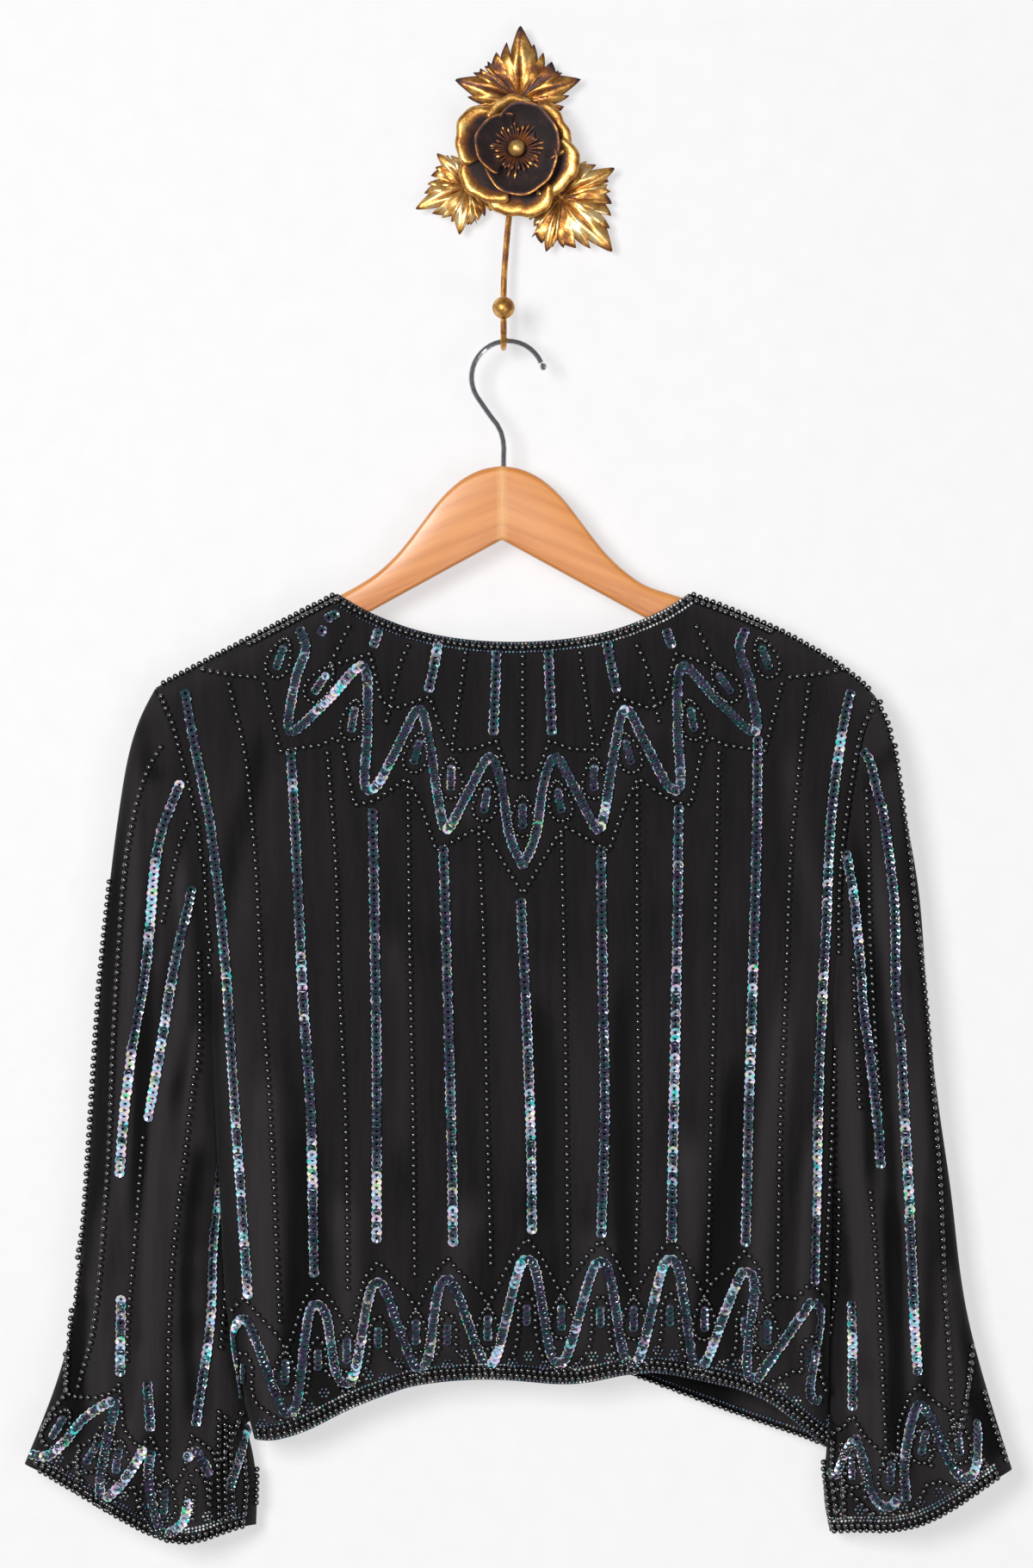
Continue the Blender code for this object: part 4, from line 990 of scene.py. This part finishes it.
def sleeve_work(side, facing, label):
    sewing = Sewing(skin_of(label, facing, "sleeve_" + side))
    for line in SLEEVE_BEADS[side]:
        sewing.bead_line(line)
    for line in SLEEVE_SEQUINS[side]:
        sewing.sequin_line(line)
    for line in CUFF_ZIGZAG[side]:
        sewing.sequin_line(line, SCALE_PITCH)
    for line in CUFF_OUTLINE[side] + CUFF_COLUMNS[side]:
        sewing.bead_line(line, CUFF_PITCH, rounded=False)
    for x, z in CUFF_RINGS[side]:
        sewing.cup_ring(x, z)
    for leaf in CUFF_LEAVES[side]:
        sewing.leaf(leaf.x, leaf.z, leaf.tilt)
    edge = edge_line(sewing.skin, *CUFF_SPANS[side], ON_CUFF, -1)
    sewing.band(edge, CUFF_ROWS)
    for x, z, ahead_x, ahead_z in paced(beside(edge, FLOWER_INSIDE), CUFF_FLOWER_PITCH):
        sewing.flower(x, z)
    return sewing.finish()


SLEEVE_WORK = {}
for side in ("left", "right"):
    SLEEVE_WORK[side] = [piece for label, facing in (("room", -1), ("wall", 1))
                         for piece in sleeve_work(side, facing, f"sleeve_{side}_{label}")]


# Fronts, on the side by the wall
# Two panels of the same cloth that meet edge to edge. The photograph hides them, so they carry the same
# stripes, yoke and hem as the back, cut by the front opening, whose edges carry a beaded band.
FRONT_TEETH = 4
TOOTH_HEIGHT, VALLEY_HEIGHT = 64, 10    # peaks and valleys above the edge
FRONT_NEAR, FRONT_FAR = 13, 150         # where the hem's beadwork starts and ends, from the middle
MIDDLE_STRIPE = 4                       # number of the stripe that the opening takes away
ON_FRONT, ON_FRONT_NECK = 40, -420      # a place across and a height that lie on the cloth
FRONT_NECK_NEAR, FRONT_NECK_FAR = 4, 99
FRONT_LEVELS = range(-385, -690, -6)    # heights along the opening
FOOT_START, FOOT_END, ON_FOOT = 178, 70, -705


def front_teeth(edge, count):
    """Teeth spaced evenly over a hem, as tall as those of the back."""
    teeth = []
    for k in range(count):
        peak = edge[int((k + 0.4) / count * (len(edge) - 1))]
        valley = edge[int(min(k + 0.9, count) / count * (len(edge) - 1))]
        teeth.append(Tooth(peak[0], peak[1] + TOOTH_HEIGHT, valley[0], valley[1] + VALLEY_HEIGHT))
    return teeth


def front_work(side):
    sewing = Sewing(skin_of("front_" + side, 1, "front_" + side))
    sign = -1 if side == "left" else 1
    stripes(sewing, leave_out=(MIDDLE_STRIPE,))
    yoke(sewing)
    left, right = sorted((sign * FRONT_NEAR, sign * FRONT_FAR))
    edge = edge_line(sewing.skin, right, left, ON_HEM, -1)
    hem(sewing, front_teeth(edge, FRONT_TEETH), edge)
    front_edge = np.array([edge_from(sewing.skin, sign * ON_FRONT, z, -sign * EDGE_STEP, 0)
                           for z in FRONT_LEVELS])
    sewing.band(front_edge, [(-sign * distance, kind) for distance, kind in EDGE_ROWS])
    neck = edge_line(sewing.skin, sign * FRONT_NECK_NEAR, sign * FRONT_NECK_FAR, ON_FRONT_NECK, 1)
    sewing.band(neck, [(sign * distance, kind) for distance, kind in NECK_ROWS])
    return sewing.finish()


def front_foot():
    """Beads along the foot of the right front, where it hangs lower than the back."""
    sewing = Sewing(skin_of("front_right_foot", -1, "front_right"))
    edge = edge_line(sewing.skin, FOOT_START, FOOT_END, ON_FOOT, -1)
    sewing.band(edge, [(0.8, "bead"), (3.6, "seed")])
    return sewing.finish()


FRONT_WORK = {side: front_work(side) for side in ("left", "right")}
FRONT_WORK["right"] += front_foot()


# Hanger
# Two arms of varnished beech that meet in a mitre at the middle, with a bore for the hook.
# The hook is bent from chromed wire and turns in the bore; a small ball is pressed on its tip.
MITRE_X = -8.5
ARM_SLOPE = 0.42        # fall of the grain for each millimetre out along an arm
GRAIN_OUT, GRAIN_DEEP = 0.07, 0.5   # the figure is drawn out along an arm, and a little through it
SEAM_WIDTH = 0.0004     # of the mitre, in metres


def varnished_beech():
    """Orange-tan wood whose grain follows each arm down from the mitre."""
    paint = Paint("varnished_beech", Roughness=0.38, Coat_Weight=0.4, Coat_Roughness=0.18)
    x, y, z = paint.axes()
    out = abs(x - MITRE_X * MM)
    grain_place = paint.node("ShaderNodeCombineXYZ", None,
                             {0: out * GRAIN_OUT, 1: y * GRAIN_DEEP, 2: z + out * ARM_SLOPE})
    figure = paint.noise(120.0, 3.0, 0.6, grain_place)
    pores = paint.noise(900.0, 3.0, 0.6, grain_place)
    wood = paint.ramp(figure * 0.8 + pores * 0.2, [
        (0.34, (0.400, 0.117, 0.022)), (0.41, (0.550, 0.190, 0.039)), (0.50, (0.608, 0.223, 0.050)),
        (0.66, (0.675, 0.270, 0.069))])
    seam = paint.ramp(out, [(0.0, (1, 1, 1)), (SEAM_WIDTH, (0, 0, 0))])
    paint.colour(paint.mix(seam * 0.55, wood, (0.80, 0.45, 0.18, 1)))
    paint.bump(pores, 0.0002, 0.35)
    return paint.material


def chromed_wire():
    paint = Paint("chromed_wire", Metallic=1.0)
    haze = paint.noise(700.0, 3.0)
    paint.colour(paint.ramp(haze, [(0.3, (0.50, 0.51, 0.53)), (0.7, (0.66, 0.67, 0.69))]))
    paint.roughness(haze * 0.12 + 0.10)
    return paint.material


def dress(finish, *nodes):
    """A solid whose shape is right stays, and gets its finish."""
    for node in nodes:
        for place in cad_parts[node].material_slots:
            place.material = finish


dress(chromed_wire(), "hanger_hook", "hook_tip")

# Top outline of the wood: distance out from the mitre and height, the hump first and then each arm
HUMP_TOP = [(0, -185), (12, -187.3), (24, -193.5), (35, -203.5), (44, -214.8), (53, -226.8), (62, -237.6),
            (73, -247.6), (84, -254.8)]
ARM_TOPS = {-1: [(98, -262.3), (127.5, -277.5), (147.5, -287.7), (167.5, -298.5), (187, -309.2)],
            1: [(98, -259.6), (107.5, -262.6), (127.5, -269.2), (147.5, -277.1), (179.5, -293.7),
                (201, -308)]}
UNDER_APEX, UNDER_SLOPE = -228.0, 0.545
ARM_DEPTH = 15.0        # the arms are at least this deep
ARM_FROM = 60           # out from the mitre, where they begin
WOOD_HALF = 5.5         # half the wood's thickness
CORNER_TOP, CORNER_UNDER = 3.6, 2.0     # roundings of its edges
ARM_CLIP = 6.0          # the arms' ends are rounded over this length


def arm_section(half, top, under):
    """The arm cut across, from the middle of its top all round."""
    over, below = min(CORNER_TOP, half), min(CORNER_UNDER, half * 0.6)
    quarter = [(half - over + over * sin(radians(a)), top - over + over * cos(radians(a)))
               for a in range(0, 91, 15)]
    quarter += [(half - below + below * cos(radians(a)), under + below - below * sin(radians(a)))
                for a in range(0, 91, 30)]
    return quarter + [(-y, z) for y, z in reversed(quarter)]


def hanger_wood():
    stations = []
    for sign in (-1, 1):
        outline = curve(HUMP_TOP + ARM_TOPS[sign], 2.5)
        arm = []
        for out, top in outline:
            under = UNDER_APEX - UNDER_SLOPE * out
            if out > ARM_FROM:
                under = min(under, top - ARM_DEPTH)
            share = min((outline[-1][0] - out + 0.5) / ARM_CLIP, 1)
            narrow = np.sqrt(1 - (1 - share) ** 2)
            middle = (top + under) / 2
            arm.append((MITRE_X + sign * out, WOOD_HALF * narrow, middle + (top - middle) * narrow,
                        middle + (under - middle) * narrow))
        stations += arm[::-1] if sign < 0 else arm[1:]
    bm = bmesh.new()
    loops = [[bm.verts.new(Vector((x, MIDDLE_Y + y, z)) * MM) for y, z in arm_section(half, top, under)]
             for x, half, top, under in stations]
    for low, high in zip(loops, loops[1:]):
        for k in range(len(low)):
            m = (k + 1) % len(low)
            bm.faces.new((low[k], high[k], high[m], low[m]))
    bm.faces.new(loops[0])
    bm.faces.new(loops[-1][::-1])
    bmesh.ops.remove_doubles(bm, verts=bm.verts, dist=0.00001)
    bmesh.ops.recalc_face_normals(bm, faces=bm.faces)
    mesh = mesh_of(bm, "hanger_wood")
    mesh.materials.append(varnished_beech())
    mesh.shade_smooth()
    mesh.set_sharp_from_angle(angle=radians(32))
    wood = placed("hanger_wood", mesh)
    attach(wood, "root")
    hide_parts("hanger")


hanger_wood()


# Wall hook
# A flower of pressed and gilded sheet metal on a round wall plate, with a rod bent up into an open hook.
# Leaf gold lies over red-brown ground: bright on what stands out, dark and dull in the hollows.
def antique_gilt(name, worn=None):
    """Old gilding. Worn is a share of bright gold for a solid that carries no share of its own."""
    paint = Paint(name)
    share = paint.attribute("gilt") if worn is None else worn
    blotch = paint.noise(120.0, 4.0, 0.62)
    speck = paint.noise(620.0, 3.0, 0.6)
    bright = share + (blotch - 0.5) * 1.15 + (speck - 0.5) * 0.35
    paint.colour(paint.ramp(bright, [
        (0.02, (0.018, 0.012, 0.013)), (0.24, (0.046, 0.022, 0.021)), (0.38, (0.150, 0.046, 0.022)),
        (0.52, (0.330, 0.130, 0.032)), (0.68, (0.620, 0.310, 0.075)), (0.86, (0.840, 0.520, 0.180)),
        (1.00, (0.950, 0.740, 0.400))]))
    shine = paint.rise(bright, 0.25, 0.55)
    paint.metallic(shine * 0.75 + 0.05)
    paint.roughness(0.62 - shine * 0.26)
    paint.bump(blotch + speck * 0.4, 0.0006, 0.6)
    return paint.material


GILT = antique_gilt("antique_gilt")
GILT_WIRE = antique_gilt("gilt_wire", 0.62)
dress(GILT_WIRE, "wall_plate", "hook_rod")


def pressed_metal(name, node, sheets, wall=0.0):
    """Grids of (x, y, z, gilt) places in millimetres as one mesh, with a wall where the metal is thin."""
    bm = bmesh.new()
    gilt = bm.verts.layers.float.new("gilt")
    for grid in sheets:
        rows = []
        for places in grid:
            rows.append([])
            for x, y, z, share in places:
                corner = bm.verts.new(Vector((x, y, z)) * MM)
                corner[gilt] = share
                rows[-1].append(corner)
        for low, high in zip(rows, rows[1:]):
            for k in range(len(low) - 1):
                bm.faces.new((low[k], low[k + 1], high[k + 1], high[k]))
    bmesh.ops.remove_doubles(bm, verts=bm.verts, dist=0.00002)
    piece = placed(name, mesh_of(bm, name))
    if wall:
        thick = piece.modifiers.new("wall", "SOLIDIFY")
        thick.thickness = wall * MM
        thick.offset = 0
        piece.data = baked(piece)
        piece.modifiers.clear()
    piece.data.materials.clear()
    piece.data.materials.append(GILT)
    piece.data.shade_smooth()
    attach(piece, "root")
    "dark_gilt" if node in ("petals_inner", "stamens") else "gilt_metal"
    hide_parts(node)
    return piece


KNOB_SIDES, KNOB_RINGS = 28, 14


def knob(centre, radius, share):
    """A round ball, as a grid."""
    grid = []
    for row in range(KNOB_RINGS + 1):
        high = pi * row / KNOB_RINGS - pi / 2
        grid.append([(centre[0] + radius * cos(high) * cos(2 * pi * k / KNOB_SIDES),
                      centre[1] + radius * cos(high) * sin(2 * pi * k / KNOB_SIDES),
                      centre[2] + radius * sin(high), share) for k in range(KNOB_SIDES + 1)])
    return grid


pressed_metal("hook_ball_gilt", "hook_ball", [knob((-7.5, -38.0, -94.0), 6.5, 0.66)])
pressed_metal("flower_centre_gilt", "flower_centre", [knob((0, -27.0, 0), 4.9, 0.78)])

# Leaves: the place where the veins meet, the share of gold, and each lobe's direction and length
BLADES = table(
    "node x z gilt lobes",
    ("leaf_top", 1.5, 30.5, 0.48, [(89, 43.5), (163, 39.5), (18, 38)]),
    ("leaf_lower_left", -28.0, -20.5, 0.76, [(203, 34), (134, 27), (259, 29)]),
    ("leaf_lower_right", 26.0, -26.5, 0.70, [(313, 44.5), (28, 36), (255, 33.5)]))
BLADE_SPOKES, BLADE_RINGS = 240, 12
BLADE_Y = -8.0
SHOULDER = 0.66         # a lobe's reach away from its tip, of its length
TIP_ANGLE = 13.0        # the tip runs out over about this many degrees
TEETH_ANGLE = 13.0      # a tooth for each of these degrees
TEETH_DEPTH = 0.24
LOBE_SPREAD = 42        # degrees on each side over which a lobe's puff falls away
DOME, PUFF, RIB, VEIN = 2.6, 3.2, 0.6, 1.2      # how far each form of a blade rises or sinks


def off_axis(angle, lobe):
    return (angle - lobe[0] + 180) % 360 - 180


def blade_sheet(blade):
    """Three puffed lobes with sunk veins and saw teeth that point to the tips, and a stalk to the hub."""
    home = np.degrees(np.arctan2(-blade.z, -blade.x))
    lobes = blade.lobes + [(home, np.hypot(blade.x, blade.z) - 8)]
    grid = []
    for ring in range(BLADE_RINGS + 1):
        share = ring / BLADE_RINGS
        row = []
        for k in range(BLADE_SPOKES + 1):
            angle = 360 * k / BLADE_SPOKES
            reaches = []
            for lobe in lobes:
                off = abs(off_axis(angle, lobe))
                envelope = SHOULDER + (1 - SHOULDER) * np.exp(-off / TIP_ANGLE)
                tooth = off_axis(angle, lobe) // TEETH_ANGLE
                depth = TEETH_DEPTH * (0.75 + 0.45 * sin(lobe[0] + 2.3 * tooth))
                saw = 1 - depth * ((off / TEETH_ANGLE) % 1) ** 1.3 * min(off / 4, 1)
                reaches.append((lobe[1] * envelope * saw if off < 80 else 0, off, lobe))
            reach, off, lobe = max(reaches, key=lambda item: item[0])
            out = reach * share
            puff = cos(min(off / LOBE_SPREAD, 1) * pi / 2)
            vein = np.exp(-(out * radians(off) / 1.0) ** 2) * min(share * 5, 1)
            rib = cos(2 * pi * (share * 2.2 - off / 26)) * share * min(off / 14, 1)
            y = BLADE_Y - DOME * sin(pi * share * 0.85) - PUFF * puff * sin(pi * share * 0.8) - RIB * rib
            y += VEIN * vein * (1 - 0.6 * share)
            gold = blade.gilt + 0.20 * puff + 0.12 * rib - 0.36 * vein - 0.40 * max(share - 0.90, 0) / 0.10
            gold -= 0.34 * (1 - puff) * (1 - share)
            row.append((blade.x + out * cos(radians(angle)), y, blade.z + out * sin(radians(angle)), gold))
        grid.append(row)
    return grid


for blade in BLADES:
    pressed_metal(blade.node + "_gilt", blade.node, [blade_sheet(blade)], 0.9)

# Petals: direction of the middle and half of the width, in degrees, reach, depth of the cup at the rim,
# how far the rim rolls back, and how much higher one side lies than the other
PETAL = "towards half reach cup roll lap"
PETALS_OUTER = table(PETAL, (30, 40, 34, 13.0, 5.0, 2.0), (96, 38, 31.5, 15.0, 5.0, 2.0),
                     (160, 40, 38, 12.5, 5.5, 2.0), (222, 40, 38.5, 11.5, 5.5, 2.0),
                     (276, 38, 41.5, 11.0, 5.0, 2.0), (333, 40, 38.5, 12.0, 5.5, 2.0))
PETALS_INNER = table(PETAL, (50, 70, 25, 16.5, 0.0, 1.2), (165, 70, 22.5, 16.5, 0.0, 1.2),
                     (285, 72, 26, 15.5, 0.0, 1.2))
OUTER_FRONT, INNER_FRONT = -17.0, -18.6
ROLL_FROM = 0.80


def petal_sheet(petal, front, columns, rows, hollow, rim):
    """A cupped petal, rounded at its corners, dark in its hollow. Its rim may roll back to the wall."""
    grid = []
    for row in range(rows + 1):
        share = row / rows
        places = []
        for column in range(columns + 1):
            across = 2 * column / columns - 1
            angle = radians(petal.towards + petal.half * across * (0.72 + 0.28 * share))
            lip = max(share - ROLL_FROM, 0) / (1 - ROLL_FROM) if petal.roll else 0
            run = share - lip * lip * (1 - ROLL_FROM) * 0.45
            wave = 0.030 * sin(petal.towards + 5 * across) + 0.012 * sin(petal.towards + 13 * across)
            out = petal.reach * run * (1.06 + wave - 0.22 * abs(across) ** 3)
            y = front - petal.cup * share ** 1.7 + petal.roll * lip ** 1.6 - petal.lap * across * share
            if petal.roll:
                worn = float(smooth_step((share - 0.68) / 0.12))
            else:
                worn = max(share - 0.93, 0) / 0.07
            places.append((out * cos(angle), y, out * sin(angle), hollow + (rim - hollow) * worn))
        grid.append(places)
    return grid


pressed_metal("petals_outer_gilt", "petals_outer",
              [petal_sheet(petal, OUTER_FRONT, 22, 20, 0.10, 0.68) for petal in PETALS_OUTER], 0.9)
pressed_metal("petals_inner_gilt", "petals_inner",
              [petal_sheet(petal, INNER_FRONT, 30, 15, 0.06, 0.50) for petal in PETALS_INNER], 0.8)

# Stamens: thin bent filaments round the centre, tipped with gold
FILAMENTS = 40
FILAMENT_ROWS, FILAMENT_SIDES = 6, 6
FILAMENT_OUT, FILAMENT_Y = 4.0, -21.5   # where each starts
FILAMENT_REACH, FILAMENT_BOW = 4.6, 1.8     # how far it comes forward, and bends
KNOB_ROW, KNOB_SWELL = 5, 0.45          # the row that is swollen to a knob at the tip


def filament(angle, length, thick, tip):
    """A tapering tube that lies in the cup, as a grid."""
    grid = []
    for row in range(FILAMENT_ROWS + 1):
        share = row / FILAMENT_ROWS
        out = FILAMENT_OUT + (length - FILAMENT_OUT) * share
        lift = FILAMENT_Y - FILAMENT_REACH * share ** 1.3 - FILAMENT_BOW * sin(pi * share)
        wide = thick * (1.0 - 0.35 * share) + (KNOB_SWELL if row == KNOB_ROW else 0)
        if row in (0, FILAMENT_ROWS):
            wide = 0.05
        turn = angle + 0.10 * sin(angle * 5) * share
        gold = 0.34 - 0.06 * share + (tip if row >= KNOB_ROW else 0)
        round_it = [2 * pi * k / FILAMENT_SIDES for k in range(FILAMENT_SIDES + 1)]
        grid.append([(out * cos(turn) - wide * cos(side) * sin(turn), lift + wide * sin(side),
                      out * sin(turn) + wide * cos(side) * cos(turn), gold) for side in round_it])
    return grid


pressed_metal("stamens_gilt", "stamens", [
    filament(2 * pi * (k + 0.3 * CHANCE.random()) / FILAMENTS, CHANCE.uniform(12.5, 19),
             CHANCE.uniform(0.7, 1.0), CHANCE.uniform(0, 0.6))
    for k in range(FILAMENTS)])


# Cut of the cloth
# Five pieces of flat georgette. The table gives what each measures flat, from side to side and from top
# to foot, its area in one layer, and the beadwork that is sewn on it.
CUTS = table("name width length area work",
             ("back", 0.42, 0.50, 0.170, BACK_WORK),
             ("front_left", 0.21, 0.50, 0.075, FRONT_WORK["left"]),
             ("front_right", 0.21, 0.50, 0.080, FRONT_WORK["right"]),
             ("sleeve_left", 0.30, 0.50, 0.083, SLEEVE_WORK["left"]),
             ("sleeve_right", 0.30, 0.50, 0.073, SLEEVE_WORK["right"]))


# Stage
# A white painted wall that the plate is fixed to, and soft room light, most of it from the left. They
# aren't part of the object. The camera looks straight at the wall.
WALL_HALF, WALL_LOW, WALL_HIGH, WALL_Y = 3, -3.2, 2.6, 0.001
AIM = (0, 0, -0.4)      # where the lamps point


def stage_wall():
    bm = bmesh.new()
    corners = [(-WALL_HALF, WALL_LOW), (WALL_HALF, WALL_LOW), (WALL_HALF, WALL_HIGH), (-WALL_HALF, WALL_HIGH)]
    bm.faces.new([bm.verts.new((x, WALL_Y, z)) for x, z in corners])
    mesh = mesh_of(bm, "wall")
    paint = Paint("wall_paint", Roughness=0.9, Specular_IOR_Level=0.1, Emission_Color=(1.0, 0.99, 1.0, 1),
                  Emission_Strength=0.58)
    grain = paint.noise(60.0, 4.0)
    paint.colour(paint.ramp(grain, [(0.3, (0.31, 0.31, 0.315)), (0.7, (0.33, 0.33, 0.335))]))
    paint.bump(grain, 0.0004, 0.3)
    behind = paint.node("ShaderNodeNewGeometry", out="Backfacing")
    clear = paint.node("ShaderNodeBsdfTransparent")
    both = paint.node("ShaderNodeMixShader", None, {0: behind, 2: clear})
    paint.tree.links.new(paint.shader.outputs[0], both.socket.node.inputs[1])
    paint.tree.links.new(both.socket, paint.tree.nodes["Material Output"].inputs["Surface"])
    mesh.materials.append(paint.material)
    placed("wall", mesh)


def light(name, place, size, power):
    """A square lamp, its size in metres and its power in watts."""
    lamp = bpy.data.lights.new(name, "AREA")
    lamp.shape = "RECTANGLE"
    lamp.size = lamp.size_y = size
    lamp.energy = power
    lit = placed(name, lamp)
    lit.location = place
    lit.rotation_euler = (Vector(AIM) - Vector(place)).to_track_quat("-Z", "Y").to_euler()


stage_wall()
light("window", (-0.95, -2.75, 0.08), 0.9, 77)
light("fill", (1.0, -2.9, -0.9), 1.6, 24)
world = bpy.context.scene.world or bpy.data.worlds.new("room")
bpy.context.scene.world = world
world.use_nodes = True
background = world.node_tree.nodes["Background"]
background.inputs["Color"].default_value = (0.96, 0.97, 1.0, 1)
background.inputs["Strength"].default_value = 0.16

FRAME_HEIGHT = 0.9105       # of the photograph, at the jacket
FRAME_MIDDLE = Vector((0, -0.035, -0.37025))
DISTANCE = 3.0
SENSOR = 36
camera_data = bpy.data.cameras.new("camera")
camera_data.sensor_fit = "VERTICAL"
camera_data.sensor_height = camera_data.sensor_width = SENSOR
camera_data.lens = SENSOR * DISTANCE / FRAME_HEIGHT
camera = placed("camera", camera_data)
camera.location = FRAME_MIDDLE + Vector((0, -DISTANCE, 0))
camera.rotation_euler = (radians(90), 0, 0)
bpy.context.scene.camera = camera
bpy.context.scene.view_settings.view_transform = "Standard"

for shape in SHAPES:
    bpy.data.objects.remove(shape)
